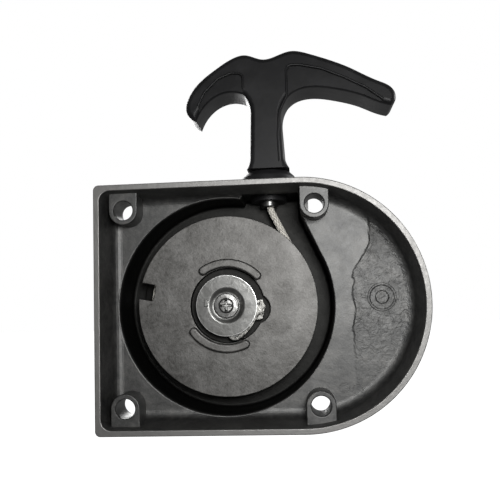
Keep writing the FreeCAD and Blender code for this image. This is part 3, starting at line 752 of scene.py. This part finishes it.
@dataclass
class Housing:
    """The die-cast tray with its scroll-shaped well, lugs and post."""

    half_height: float = 50.0
    end_centre: float = 32.6
    wall: float = 3.5
    draft: Point = (-1.1, 0.5)
    corner: float = 2.2
    inner_corner: float = 3.2
    rim_y: float = -4.5
    floor_y: float = 10.5
    floor_back_y: float = 14.0
    floor_fillet: float = 4.0
    well_radius: float = 45.0
    well_wall: float = 3.3
    well_floor_y: float = 32.5
    back_y: float = 36.0
    channel: tuple[Point, ...] = ((8.7, 28.0), (40.6, 22.0), (33.3, 38.0), (33.3, 46.4), (8.7, 46.4))
    channel_floor_y: float = 31.6
    bolts: Point = (39.0, 40.0)
    hole_radius: float = 3.9
    lug_radius: float = 5.9
    post_radius: float = 6.0
    post_end_y: float = 17.3
    guide: tuple[float, float, float] = (20.1, 23.0, 8.0)
    axis: float = AXIS_X
    gate: Point = (65.4, 1.8)
    gate_ring: float = 5.4
    gate_button: float = 2.8
    ejectors: tuple[Point, Point] = ((49.0, -34.6), (54.2, -35.4))
    flow: tuple[float, float, float, float] = (10.0, 27.0, 51.2, 58.6)
    edge: float = 0.4

    def tray(self, wall: float, corner: float) -> Outline:
        """Give the tray's outline: square on one side, round on the other.

        Args:
            wall: How far the outline lies inside the housing's own.
            corner: The radius of the square side's corners.

        Returns:
            The outline for a further inset.
        """
        def outline(inset: float) -> list[Point]:
            """Give the loop, anticlockwise from the round end's foot."""
            half = self.half_height - wall - inset
            radius = max(corner - inset, 0.3)
            side = radius - half
            loop = sweep((self.end_centre, 0), half, -90, 90, 120)
            loop += sweep((side, -side), radius, 90, 180, 10)
            loop += sweep((side, side), radius, 180, 270, 10)
            return loop
        return outline

    def well(self, inset: float) -> list[Point]:
        """Give the well's outline: a circle with a mouth that leads the rope out."""
        shift = Vector((self.axis, 0))
        loop = []
        for step in range(360):
            turn = math.radians(step)
            ray = Vector((math.cos(turn), math.sin(turn)))
            reach = self.well_radius - inset
            for start, end in zip(self.channel, self.channel[1:] + self.channel[:1]):
                start, end = Vector(start) - shift, Vector(end) - shift
                along = end - start
                cross = ray.x * along.y - ray.y * along.x
                if abs(cross) < 1e-6:
                    continue
                far = (start.x * along.y - start.y * along.x) / cross
                share = (start.x * ray.y - start.y * ray.x) / cross
                if far > 0 and 0 <= share <= 1:
                    reach = max(reach, far - inset)
            top = self.half_height - self.wall - 0.05 - max(inset, 0)
            loop.append((self.axis + ray.x * reach, min(ray.y * reach, top)))
        return loop

    def lug(self, x: float, z: float) -> Outline:
        """Give a lug's outline: round towards the middle, flat towards the nearest long wall."""
        side = math.copysign(1, z)
        wall = side * (self.half_height - self.wall / 2)

        def outline(inset: float) -> list[Point]:
            """Give the loop from the wall and back."""
            radius = self.lug_radius - inset
            loop = [(x - radius, wall)]
            loop += [(px, z - side * abs(pz - z)) for px, pz in sweep((x, z), radius, 180, 360, 32)]
            loop.append((x + radius, wall))
            return loop
        return outline

    def body(self) -> Object:
        """Build the tray, the well behind it and the channel's bulge."""
        tray = loft("cast_tray", self.tray(0, self.corner), rounding(self.rim_y, self.edge, 1)
                    + rounding(self.floor_back_y, 0.8, -1))
        cup = loft("cup", disc((self.axis, 0), self.well_radius + self.well_wall, 240),
                   [(self.floor_back_y - 1, 0)] + rounding(self.back_y, 1.4, -1))
        left, right = self.channel[0][0] - self.wall, self.channel[2][0] + self.wall
        throat, knee = self.channel[1][0] + self.wall, self.channel[2][1]
        top = self.half_height

        def bulge(inset: float) -> list[Point]:
            """Give the bulge that stands behind the channel."""
            return [(left + inset, 0), (throat - inset, 0), (throat - inset, self.channel[1][1]),
                    (right - inset, knee), (right - inset, top - inset), (left + inset, top - inset)]
        hump = loft("bulge", bulge, [(self.floor_back_y - 1, 0)]
                    + rounding(self.channel_floor_y + self.wall, 1.2, -1))
        return join(join(tray, cup, Join.ADD), hump, Join.ADD)

    def hollows(self, tray: Object) -> Object:
        """Cut the tray's hollow and the well."""
        near, deep = self.draft
        mouth = [(y, inset + near) for y, inset in rounding(self.rim_y, self.edge, 1, -1)]
        fillet = [(y, inset + deep) for y, inset in rounding(self.floor_y, self.floor_fillet, -1, steps=6)]
        hollow = loft("hollow", self.tray(self.wall, self.inner_corner),
                      [(self.rim_y - 1, near - self.edge)] + mouth + fillet)
        tray = join(tray, hollow, Join.CUT)
        lip = [(self.floor_y - 3.2, -0.5)] + rounding(self.floor_y, 0.5, 1, -1)
        well = loft("well", self.well, lip + rounding(self.well_floor_y, 1.5, -1))
        return join(tray, well, Join.CUT)

    def casting_marks(self) -> list[Object]:
        """Raise the gate's ring and button and the ejector pins' rings from the floor."""
        y, ring, button = self.floor_y, self.gate_ring, self.gate_button
        scar = [(0, y - 0.35), (button - 0.4, y - 0.4), (button, y - 0.05), (ring - 0.7, y - 0.05),
                (ring - 0.3, y - 0.35), (ring + 0.3, y - 0.35), (ring + 0.7, y + 0.5), (0, y + 0.5)]
        x, z = self.gate
        marks = [turned("gate_mark", soft_corners(scar, 0.15), Vector((x, 0, z)), False, 96)]
        for x, z in self.ejectors:
            pin = [(1.6, y + 0.3), (1.75, y - 0.15), (2.1, y - 0.15), (2.3, y + 0.3)]
            marks.append(turned("ejector_mark", pin, Vector((x, 0, z)), False, 48))
        return marks

    def build(self) -> None:
        """Make the whole casting and dress it."""
        tray = self.hollows(self.body())
        across, up = self.bolts
        places = [(x, z) for x in (-across, across) for z in (up, -up)]
        for x, z in places:
            lug = loft("lug", self.lug(x, z), rounding(0, 0.45, 1) + [(self.floor_back_y - 0.4, 0)])
            tray = join(tray, lug, Join.ADD)
        for x, z in places:
            mouth = [(-1, -0.6)] + rounding(0, 0.6, 1, -1, 3)
            bore = loft("bore", disc((x, z), self.hole_radius, 64), mouth + [(self.floor_back_y + 1, 0)])
            tray = join(tray, bore, Join.CUT)
        post = loft("post", disc((self.axis, 0), self.post_radius), rounding(self.post_end_y, 0.4, 1)
                    + [(self.well_floor_y + 1, 0)])
        tray = join(tray, post, Join.ADD)
        x, y, radius = self.guide
        low, high = self.half_height - 10, self.half_height + 2
        bore = turned("guide_bore", [(0, low), (radius, low), (radius, high), (0, high)], Vector((x, y, 0)),
                      True, 96)
        tray = join(tray, bore, Join.CUT)
        for mark in self.casting_marks():
            tray = join(tray, mark, Join.ADD)
        # Painted shade with some grease darkens the well and its channel deeper than Y 11 to 13.5.
        alloy = DieCastAlloy("die-cast alloy, as cast", worn_y=(-4.3, -3.9), flow=self.flow,
                             well=(47.2, 34.2, 8.0, 35.0, 20.0, 48.0)).build()
        finish_piece(shade(tray), alloy, Body.HOUSING, "die_cast_alloy", "housing")


# --- reel ------------------------------------------------------------------------------------------------

@dataclass
class Reel:
    """The die-cast rope reel with its dog ribs, pawl recess and rope notch."""

    rim: float = 38.3
    face_y: float = 16.5
    back_y: float = 30.0
    flange: float = 2.6
    taper: float = 0.5
    groove: float = 29.0
    pocket: float = 15.8
    pocket_floor_y: float = 19.5
    bush: float = 9.5
    room: float = 24.0
    room_y: float = 22.5
    hub: float = 12.0
    rib_inner: float = 16.1
    rib_outer: float = 19.8
    rib_face_y: float = 13.9
    rib_spans: tuple[Point, Point] = ((43.5, 123.5), (216.5, 294.5))
    notch_angle: float = 169.0
    notch_width: float = 6.8
    notch_depth: float = 6.4
    recess: tuple[float, float, float] = (11.9, -1.6, 6.3)
    edge: float = 0.4

    def rib(self, start: float, end: float) -> Outline:
        """Give the outline of a raised arc with round ends."""
        def outline(inset: float) -> list[Point]:
            """Give the loop: outer arc, round end, inner arc, round end."""
            middle = (self.rib_inner + self.rib_outer) / 2
            half = (self.rib_outer - self.rib_inner) / 2 - inset
            loop = sweep((0, 0), middle + half, start, end, 48)
            for angle, first in ((end, end), (start, start + 180)):
                turn = math.radians(angle)
                centre = (middle * math.cos(turn), middle * math.sin(turn))
                loop += sweep(centre, half, first, first + 180, 10)[1:-1]
                if angle == end:
                    loop += sweep((0, 0), middle - half, end, start, 48)
            return loop
        return outline

    def notch(self, inset: float) -> list[Point]:
        """Give the outline of the rope notch, with a round inner end."""
        turn = math.radians(self.notch_angle)
        along, across = Vector((math.cos(turn), math.sin(turn))), Vector((-math.sin(turn), math.cos(turn)))
        half = self.notch_width / 2 - inset
        root = self.rim - self.notch_depth + inset
        corners = [(self.rim + 3, half), (self.rim + 3, -half)]
        for step in range(9):
            share = math.radians(-90 + 180 * step / 8)
            corners.append((root - 0.8 * math.cos(share) + 0.8, half * math.sin(share)))
        return [tuple(along * out + across * side) for out, side in corners]

    def build(self) -> None:
        """Turn the wheel, raise its ribs, cut its pockets and dress it."""
        face, back, rim, taper = self.face_y, self.back_y, self.rim, self.taper
        section = [(self.bush, self.pocket_floor_y), (self.pocket, self.pocket_floor_y), (self.pocket, face),
                   (rim, face), (rim, face + self.flange - taper), (self.groove, face + self.flange + taper),
                   (self.groove, back - self.flange - taper), (rim, back - self.flange + taper), (rim, back),
                   (self.room, back), (self.room, self.room_y), (self.hub, self.room_y), (self.hub, back),
                   (self.bush, back)]
        wheel = turned("cast_reel", soft_corners(section, self.edge), sides=288)
        for start, end in self.rib_spans:
            rib = loft("rib", self.rib(start, end), rounding(self.rib_face_y, 0.9, 1) + [(face + 0.5, 0)])
            wheel = join(wheel, rib, Join.ADD)
        x, z, radius = self.recess
        mouth = [(face - 0.5, -self.edge)] + rounding(face, self.edge, 1, -1)
        cut = loft("recess", disc((x, z), radius), mouth + [(self.pocket_floor_y, 0)])
        wheel = join(wheel, cut, Join.CUT)
        cut = loft("notch", self.notch, mouth + [(face + self.flange + 0.5, 0)])
        wheel = join(wheel, cut, Join.CUT)
        # Painted shade: the reel is darkened deeper than Y 16.9 to 17.8, in its pocket, its groove and
        # behind.
        alloy = DieCastAlloy("die-cast reel alloy", dark="4a4947", mid="6a6967", light="858482", mottle=1.8,
                             grain=0.45, shade_and_grease_y=(16.9, 17.8)).build()
        finish_piece(on_axis(shade(wheel)), alloy, Body.REEL, "reel_alloy", "reel")


# --- clutch ----------------------------------------------------------------------------------------------

@dataclass
class Clutch:
    """The friction plate, its screw and the pawl."""

    plate_radius: float = 12.9
    plate_y: float = 12.8
    plate_thick: float = 0.8
    dish: float = 0.9
    dish_radius: float = 7.9
    dish_width: float = 2.5
    bore: float = 2.65
    tab: tuple[float, float, float, float] = (-9.3, -7.8, -0.2, 2.8)
    head_radius: float = 5.3
    head_height: float = 2.7
    crown: float = 2.9
    shank: float = 2.5
    shank_end_y: float = 29.3
    cross_arm: float = 2.5
    cross_half: float = 0.6
    cross_depth: float = 1.6

    def plate(self) -> Object:
        """Press the friction plate: a dished centre, a rolled rim and a bent tab."""
        y, thick, dish, near = self.plate_y, self.plate_thick, self.dish, self.dish_radius
        slope = [(near - self.dish_width * (1 - share), y + dish * (1 - share * share * (3 - 2 * share)))
                 for share in (step / 10 for step in range(11))]
        section = [(self.bore, y + dish), *slope, (self.plate_radius, y), (self.plate_radius, y + thick),
                   (near + 0.3, y + thick), (near - 2.0, y + dish + thick),
                   (self.bore, y + dish + thick)]
        plate = turned("pressed_plate", soft_corners(section, 0.3))
        left, right, low, high = self.tab

        def outline(inset: float) -> list[Point]:
            """Give the tab's outline."""
            return [(left + inset, low + inset), (right - inset, low + inset), (right - inset, high - inset),
                    (left + inset, high - inset)]
        tab = loft("tab", outline, rounding(y - 0.7, 0.2, 1) + [(y + 0.3, 0)])
        return join(plate, tab, Join.ADD)

    def screw(self) -> Object:
        """Turn the screw and press its cross recess."""
        seat = self.plate_y + self.dish
        top = seat - self.head_height
        head, shank = self.head_radius, self.shank
        crown = self.crown
        section = [(0, top), (crown - 0.3, top), (crown, top + 0.4), (crown + 0.15, top + 1.0),
                   (head - 0.3, top + 1.1), (head, top + 1.5), (head, seat), (shank, seat),
                   (shank, self.shank_end_y), (0, self.shank_end_y)]
        screw = turned("cross_head_screw", soft_corners(section, 0.3), sides=96)
        arm, half = self.cross_arm, self.cross_half

        def cross(inset: float) -> list[Point]:
            """Give the cross, narrower as it deepens."""
            a, h = arm - inset, half - inset * 0.5
            return [(h, a), (-h, a), (-h, h), (-a, h), (-a, -h), (-h, -h), (-h, -a), (h, -a), (h, -h),
                    (a, -h), (a, h), (h, h)]
        recess = loft("cross", cross, [(top - 1, -0.2), (top + 0.1, 0), (top + self.cross_depth, 0.7)])
        return join(screw, recess, Join.CUT)

    def build(self) -> None:
        """Make the bright steel parts in the reel's middle."""
        # The plate's outer edge gets the painted highlight ring.
        plated = PlatedSteel("zinc-plated sheet steel", rough=0.36, pale_edge=(12.75, 0.25)).build()
        finish_piece(on_axis(shade(self.plate())), plated, Body.PLATE, "bright_steel", "friction_plate")
        screw_steel = PlatedSteel("zinc-plated screw steel", bright="9a9a98", dull="6c6b69", rough=0.4,
                                  patches=1.5).build()
        finish_piece(on_axis(shade(self.screw())), screw_steel, Body.HOUSING, "bright_steel", "centre_screw")
        oily = PlatedSteel("oiled pawl steel", bright="8e8d89", dull="141312", rough=0.34,
                           patches=1.5).build()
        finish_piece(cast_copy("pawl", "stamped_pawl", 0.3, 3), oily, Body.PAWL, "steel", "pawl")


# --- rope and handle -------------------------------------------------------------------------------------

@dataclass
class CordTree:
    """The Geometry Nodes tree that braids a cord along a path."""

    name: str = "braided cord"

    def inputs(self) -> dict[str, tuple[str, float | int]]:
        """Name the tree's inputs with their socket types and starting values."""
        return {"Radius": ("NodeSocketFloat", 1.5 * MM), "Bend": ("NodeSocketFloat", 0.0),
                "Step": ("NodeSocketFloat", 0.25 * MM), "Sides": ("NodeSocketInt", 36),
                "Strands": ("NodeSocketInt", 6), "Pitch": ("NodeSocketFloat", 2.6 * MM),
                "Depth": ("NodeSocketFloat", 0.16 * MM), "Material": ("NodeSocketMaterial", None)}

    def build(self) -> NodeTree:
        """Make the tree: round the path's corners, sweep a circle, raise the yarns.

        Returns:
            The tree.
        """
        tree = bpy.data.node_groups.new(self.name, "GeometryNodeTree")
        tree.interface.new_socket("Geometry", in_out="INPUT", socket_type="NodeSocketGeometry")
        for name, (kind, value) in self.inputs().items():
            socket = tree.interface.new_socket(name, in_out="INPUT", socket_type=kind)
            if value is not None:
                socket.default_value = value
        tree.interface.new_socket("Geometry", in_out="OUTPUT", socket_type="NodeSocketGeometry")
        given = add(tree, "NodeGroupInput").outputs
        path = add(tree, "GeometryNodeMeshToCurve", {"Mesh": given["Geometry"]})
        path = add(tree, "GeometryNodeFilletCurve", {"Curve": path, "Count": 24, "Radius": given["Bend"]},
                   mode="POLY")
        path = add(tree, "GeometryNodeResampleCurve", {"Curve": path, "Length": given["Step"]}, mode="LENGTH")
        place = add(tree, "GeometryNodeSplineParameter")
        path = add(tree, "GeometryNodeStoreNamedAttribute",
                   {"Geometry": path, "Name": "along", "Value": place.outputs["Length"]},
                   data_type="FLOAT", domain="POINT")
        ring = add(tree, "GeometryNodeCurvePrimitiveCircle",
                   {"Resolution": given["Sides"], "Radius": given["Radius"]})
        place = add(tree, "GeometryNodeSplineParameter")
        ring = add(tree, "GeometryNodeStoreNamedAttribute",
                   {"Geometry": ring, "Name": "around", "Value": place.outputs["Factor"]},
                   data_type="FLOAT", domain="POINT")
        tube = add(tree, "GeometryNodeCurveToMesh", {"Curve": path, "Profile Curve": ring, "Fill Caps": True})
        raised = add(tree, "GeometryNodeSetPosition", {"Geometry": tube, "Offset": self.yarns(tree, given)})
        smooth = add(tree, "GeometryNodeSetShadeSmooth", {"Geometry": raised})
        solid = add(tree, "GeometryNodeRealizeInstances", {"Geometry": smooth})
        dressed = add(tree, "GeometryNodeSetMaterial", {"Geometry": solid, "Material": given["Material"]})
        add(tree, "NodeGroupOutput", {"Geometry": dressed})
        return tree

    def yarns(self, tree: NodeTree, given: NodeOutputs) -> Node:
        """Work out how far each point of the tube is sunk between the yarns.

        Args:
            tree: The tree.
            given: The group's inputs.

        Returns:
            The node whose first output is the offset.
        """
        along = add(tree, "GeometryNodeInputNamedAttribute", {"Name": "along"}, data_type="FLOAT")
        around = add(tree, "GeometryNodeInputNamedAttribute", {"Name": "around"}, data_type="FLOAT")
        turns = add(tree, MATH, {0: around, 1: given["Strands"]}, operation="MULTIPLY")
        steps = add(tree, MATH, {0: along, 1: given["Pitch"]}, operation="DIVIDE")
        sunk = None
        for way in ("ADD", "SUBTRACT"):
            slant = add(tree, MATH, {0: turns, 1: steps}, operation=way)
            arch = add(tree, MATH, {0: slant, 1: math.pi}, operation="MULTIPLY")
            wave = add(tree, MATH, {0: arch}, operation="SINE")
            size = add(tree, MATH, {0: wave}, operation="ABSOLUTE")
            sunk = size if sunk is None else add(tree, MATH, {0: sunk, 1: size}, operation="MULTIPLY")
        dip = add(tree, MATH, {0: sunk, 1: 1.0}, operation="SUBTRACT")
        deep = add(tree, MATH, {0: dip, 1: given["Depth"]}, operation="MULTIPLY")
        normal = add(tree, "GeometryNodeInputNormal")
        return add(tree, "ShaderNodeVectorMath", {0: normal, "Scale": deep}, operation="SCALE")


@dataclass
class RopeGear:
    """The starter rope, its guide and the pull handle."""

    tree: NodeTree = field(default_factory=lambda: CordTree().build())
    axis: Point = (20.1, 23.0)
    joint_z: float = 50.0
    mouth_z: float = 41.8
    end_z: float = 90.2
    ride: float = 35.5
    bend: float = 14.0
    coil_radii: tuple[float, ...] = (30.5, 32.4)
    coil_y: tuple[float, ...] = (21.25, 23.95)
    guide_radius: float = 8.0
    guide_foot_z: float = 44.4
    guide_bore: float = 1.9
    wall_top_z: float = 50.0
    collar: float = 12.0
    collar_top: float = 9.2
    shoulder_z: float = 53.0
    collar_top_z: float = 57.4
    seat_z: float = 48.0
    seat_radius: float = 3.9
    face_y: float = 13.15
    long_bead: tuple[Point, ...] = ((5.2, 60.6), (4.9, 72.0), (5.8, 82.0), (9.2, 88.5), (9.2, 102.2),
                                    (15.0, 102.0), (24.4, 99.8), (34.0, 95.4), (42.8, 90.6), (50.0, 85.0))
    short_bead: tuple[Point, ...] = ((-9.4, 93.0), (-9.4, 99.6), (-14.6, 99.9), (-20.4, 97.6), (-26.4, 91.8),
                                     (-29.2, 86.0))

    def cord(self, name: str, path: list[Vector], tree: NodeTree, material: Material,
             **given: float) -> Object:
        """Braid a cord along a path.

        Args:
            name: The piece's name.
            path: The path's corners, in millimetres.
            tree: The cord's tree.
            material: The cord's finish.
            given: Values for the tree's inputs, by name.

        Returns:
            The cord as a plain mesh.
        """
        mesh = bpy.data.meshes.new(name)
        mesh.from_pydata([point * MM for point in path], [(i, i + 1) for i in range(len(path) - 1)], [])
        obj = new_object(name, mesh)
        modifier = obj.modifiers.new("cord", "NODES")
        modifier.node_group = tree
        identifiers = {item.name: item.identifier for item in tree.interface.items_tree
                       if item.in_out == "INPUT"}
        modifier[identifiers["Material"]] = material
        for key, value in given.items():
            modifier[identifiers[key]] = value
        return settle(obj)

    def lead_path(self) -> list[Vector]:
        """Give the corners of the rope from the guide to where it meets the wound rope."""
        x, y = self.axis
        across = x - AXIS_X
        turn = math.atan2(self.mouth_z, across) - math.acos(self.ride / math.hypot(across, self.mouth_z))
        touch = Vector((AXIS_X + self.ride * math.cos(turn), y, self.ride * math.sin(turn)))
        return [Vector((x, y, self.joint_z)), Vector((x, y, self.mouth_z)), touch]

    def coil_path(self) -> list[Vector]:
        """Give the wound rope: turns side by side, one layer on another."""
        path = []
        for layer, radius in enumerate(self.coil_radii):
            sides = self.coil_y if layer % 2 == 0 else self.coil_y[::-1]
            for turn, y in enumerate(sides):
                for step in range(90):
                    angle = math.tau * step / 90
                    last = step > 80
                    target = sides[turn + 1] if turn + 1 < len(sides) else y
                    drift = (step - 80) / 10 * (target - y) if last else 0.0
                    across, up = radius * math.cos(angle), radius * math.sin(angle)
                    path.append(Vector((AXIS_X + across, y + drift, up)))
        return path

    def knot_path(self, centre: Vector, size: float) -> list[Vector]:
        """Give an overhand knot's path round a centre."""
        path = []
        for step in range(72):
            turn = math.tau * step / 72
            flat = Vector((math.sin(turn) + 2 * math.sin(2 * turn), math.cos(turn) - 2 * math.cos(2 * turn),
                           -math.sin(3 * turn)))
            path.append(centre + flat * size / 3)
        return path

    def build_rope(self) -> None:
        """Make the rope's three stretches and its knot."""
        x, y = self.axis
        tree = self.tree
        cord = BraidedCord("braided polyester cord").build()
        lead = self.cord("cord_lead", self.lead_path(), tree, cord, Bend=self.bend * MM)
        finish_piece(lead, cord, Body.HOUSING, "rope", "rope_lead")
        wound = self.cord("cord_wound", self.coil_path(), tree, cord, Step=1.2 * MM, Sides=12, Depth=0.0,
                          Radius=1.3 * MM)
        finish_piece(wound, cord, Body.REEL, "rope", "rope_coil")
        low, high = (Vector(corner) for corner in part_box("handle_knot"))
        knot = self.cord("cord_knot", self.knot_path((low + high) / 2 / MM, 2.5), tree, cord, Sides=16)
        finish_piece(knot, cord, Body.HANDLE, "rope", "handle_knot")
        straight = BraidedCord("braided polyester cord, straight", axis=self.axis).build()
        path = [Vector((x, y, self.joint_z)), Vector((x, y, self.end_z))]
        pulled = self.cord("cord_pulled", path, tree, straight, Depth=0.0, Step=0.5 * MM)
        pulled.data.materials.clear()
        pulled.data.materials.append(straight)
        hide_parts("rope_pull")
        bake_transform(pulled)
        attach(pulled, Body.HOUSING.value)
        LOG.info("%s: %d faces between housing and handle", pulled.name, len(pulled.data.polygons))

    def build(self) -> None:
        """Make the guide, the handle and the rope."""
        self.build_rope()
        nylon = MouldedNylon("glass-filled nylon, moulded").build()
        section = [(self.guide_bore, self.seat_z), (self.seat_radius, self.seat_z),
                   (self.seat_radius, self.guide_foot_z), (self.guide_radius, self.guide_foot_z),
                   (self.guide_radius, self.wall_top_z), (self.collar, self.wall_top_z),
                   (self.collar, self.shoulder_z), (self.collar - 0.5, self.shoulder_z + 2.2),
                   (self.collar_top, self.collar_top_z), (self.guide_bore, self.collar_top_z)]
        x, y = self.axis
        guide = turned("moulded_guide", soft_corners(section, 0.5), Vector((x, y, 0)), True, 96)
        finish_piece(shade(guide), nylon, Body.HOUSING, "black_plastic", "rope_guide")
        grip = MouldedNylon("handle nylon, moulded", rough=0.48).build()
        handle = cast_copy("handle", "moulded_handle", 0.4, 3)
        finish_piece(handle, grip, Body.HANDLE, "handle_plastic", "handle")
        for name, route in (("bead_long_arm", self.long_bead), ("bead_short_arm", self.short_bead)):
            path = [Vector((x + across, self.face_y, up)) for across, up in route]
            bead = self.cord(name, path, self.tree, grip, Radius=0.55 * MM, Depth=0.0, Sides=12,
                             Bend=2.5 * MM, Step=0.5 * MM)
            finish_piece(bead, grip, Body.HANDLE, "handle_plastic")


@dataclass
class HiddenWorks:
    """Finishes for the CAD nodes that stay as they are."""

    steel: TurnedMetal = field(default_factory=lambda: TurnedMetal("turned steel"))
    spring: TurnedMetal = field(default_factory=lambda: TurnedMetal("spring steel", "6d6c6a", "3f3e3c", 0.3))
    bronze: TurnedMetal = field(
        default_factory=lambda: TurnedMetal("sintered bronze", "9c7a42", "6d5228", 0.5))
    cord: BraidedCord = field(
        default_factory=lambda: BraidedCord("braided cord, knotted", axis=(-23.7, 25.1)))

    def build(self) -> None:
        """Give each kept node its metal or cord."""
        kept = {
            self.steel.build(): ("post_sleeve", "guide_ferrule", "thrust_washer", "spring_cover", "pawl_pin",
                                 "rope_retainer"),
            self.spring.build(): ("recoil_spring", "friction_spring", "pawl_spring"),
            self.bronze.build(): ("reel_bush",),
            self.cord.build(): ("reel_knot",),
        }
        for material, names in kept.items():
            for name in names:
                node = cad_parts[name]
                node.data.materials.clear()
                node.data.materials.append(material)


# --- studio ----------------------------------------------------------------------------------------------

@dataclass
class Studio:
    """Pale floor, soft light and the camera."""

    eye: tuple[float, float, float] = (32.75 * MM, -253.6 * MM, 1.78 * MM)
    turn_degrees: tuple[float, float, float] = (94.55, 1.605, 4.63)
    lens: float = 45.88
    floor_z: float = -0.26
    floor_reach: float = 6.0
    room_light: float = 0.15
    paper_light: float = 0.35
    lamps: tuple[tuple, ...] = (("key", (0.07, -0.26, 0.05), (0.035, 0.01, 0.02), 0.07, 0.66),
                                ("side", (0.42, 0.16, 0.16), (0.03, 0.02, 0.03), 0.15, 1.2),
                                ("back", (-0.16, 0.45, 0.2), (0.02, 0.03, 0.02), 0.3, 3.0))

    def camera(self) -> None:
        """Stand the camera close in front of the engine side."""
        data = bpy.data.cameras.new("camera")
        data.sensor_width = 36.0
        data.lens = self.lens
        data.clip_start = 0.01
        camera = bpy.data.objects.new("camera", data)
        bpy.context.scene.collection.objects.link(camera)
        camera.location = self.eye
        camera.rotation_euler = Euler([math.radians(a) for a in self.turn_degrees], "XYZ")
        bpy.context.scene.camera = camera

    def lamp(self, name: str, place: tuple[float, float, float], aim: tuple[float, float, float], size: float,
             power: float) -> None:
        """Hang a square soft light.

        Args:
            name: The light's name.
            place: Where it hangs.
            aim: The point it looks at.
            size: Its side.
            power: Its watts.
        """
        data = bpy.data.lights.new(name, "AREA")
        data.size = size
        data.energy = power
        light = bpy.data.objects.new(name, data)
        bpy.context.scene.collection.objects.link(light)
        light.location = place
        light.rotation_euler = (Vector(aim) - Vector(place)).to_track_quat("-Z", "Y").to_euler()

    def surroundings(self) -> None:
        """Lay the floor and a pale room that lights softly."""
        mesh = bpy.data.meshes.new("floor")
        far = self.floor_reach
        corners = [(x, y, self.floor_z) for x, y in ((-far, -far), (far, -far), (far, far), (-far, far))]
        mesh.from_pydata(corners, [], [(0, 1, 2, 3)])
        floor = new_object("floor", mesh)
        material = bpy.data.materials.new("pale studio card, lit from below")
        material.use_nodes = True
        tree = material.node_tree
        shader = tree.nodes[SHADER]
        shader.inputs["Base Color"].default_value = linear("f4f4f4")
        shader.inputs["Emission Color"].default_value = linear("ffffff")
        shader.inputs["Emission Strength"].default_value = 0.95
        floor.data.materials.append(material)
        floor.visible_diffuse = False
        floor.visible_glossy = False
        world = bpy.data.worlds.new("studio")
        world.use_nodes = True
        tree = world.node_tree
        seen = add(tree, "ShaderNodeLightPath").outputs["Is Camera Ray"]
        toward = add(tree, "ShaderNodeSeparateXYZ", {0: add(tree, "ShaderNodeTexCoord").outputs["Generated"]})
        behind = add(tree, "ShaderNodeMapRange", {"Value": toward.outputs["Y"], "From Min": -0.05,
                                                  "From Max": 0.5, "To Min": self.room_light,
                                                  "To Max": self.paper_light})
        strength = add(tree, "ShaderNodeMix", {"Factor": seen, 2: behind, 3: 1.0})
        background = tree.nodes["Background"]
        background.inputs["Color"].default_value = (1.0, 1.0, 1.0, 1.0)
        tree.links.new(strength.outputs[0], background.inputs["Strength"])
        bpy.context.scene.world = world

    def build(self) -> None:
        """Set the camera, the lights and the room."""
        self.camera()
        self.surroundings()
        for name, place, aim, size, power in self.lamps:
            self.lamp(name, place, aim, size, power)
        bpy.context.scene.view_settings.view_transform = "Standard"


def main() -> None:
    """Build every sub-assembly in order."""
    logging.basicConfig(level=logging.INFO, format="%(name)s %(message)s")
    Studio().build()
    for assembly in (Housing(), Reel(), Clutch(), RopeGear(), HiddenWorks()):
        assembly.build()
        LOG.info("%s done", type(assembly).__name__)


if __name__ == "__main__":
    main()
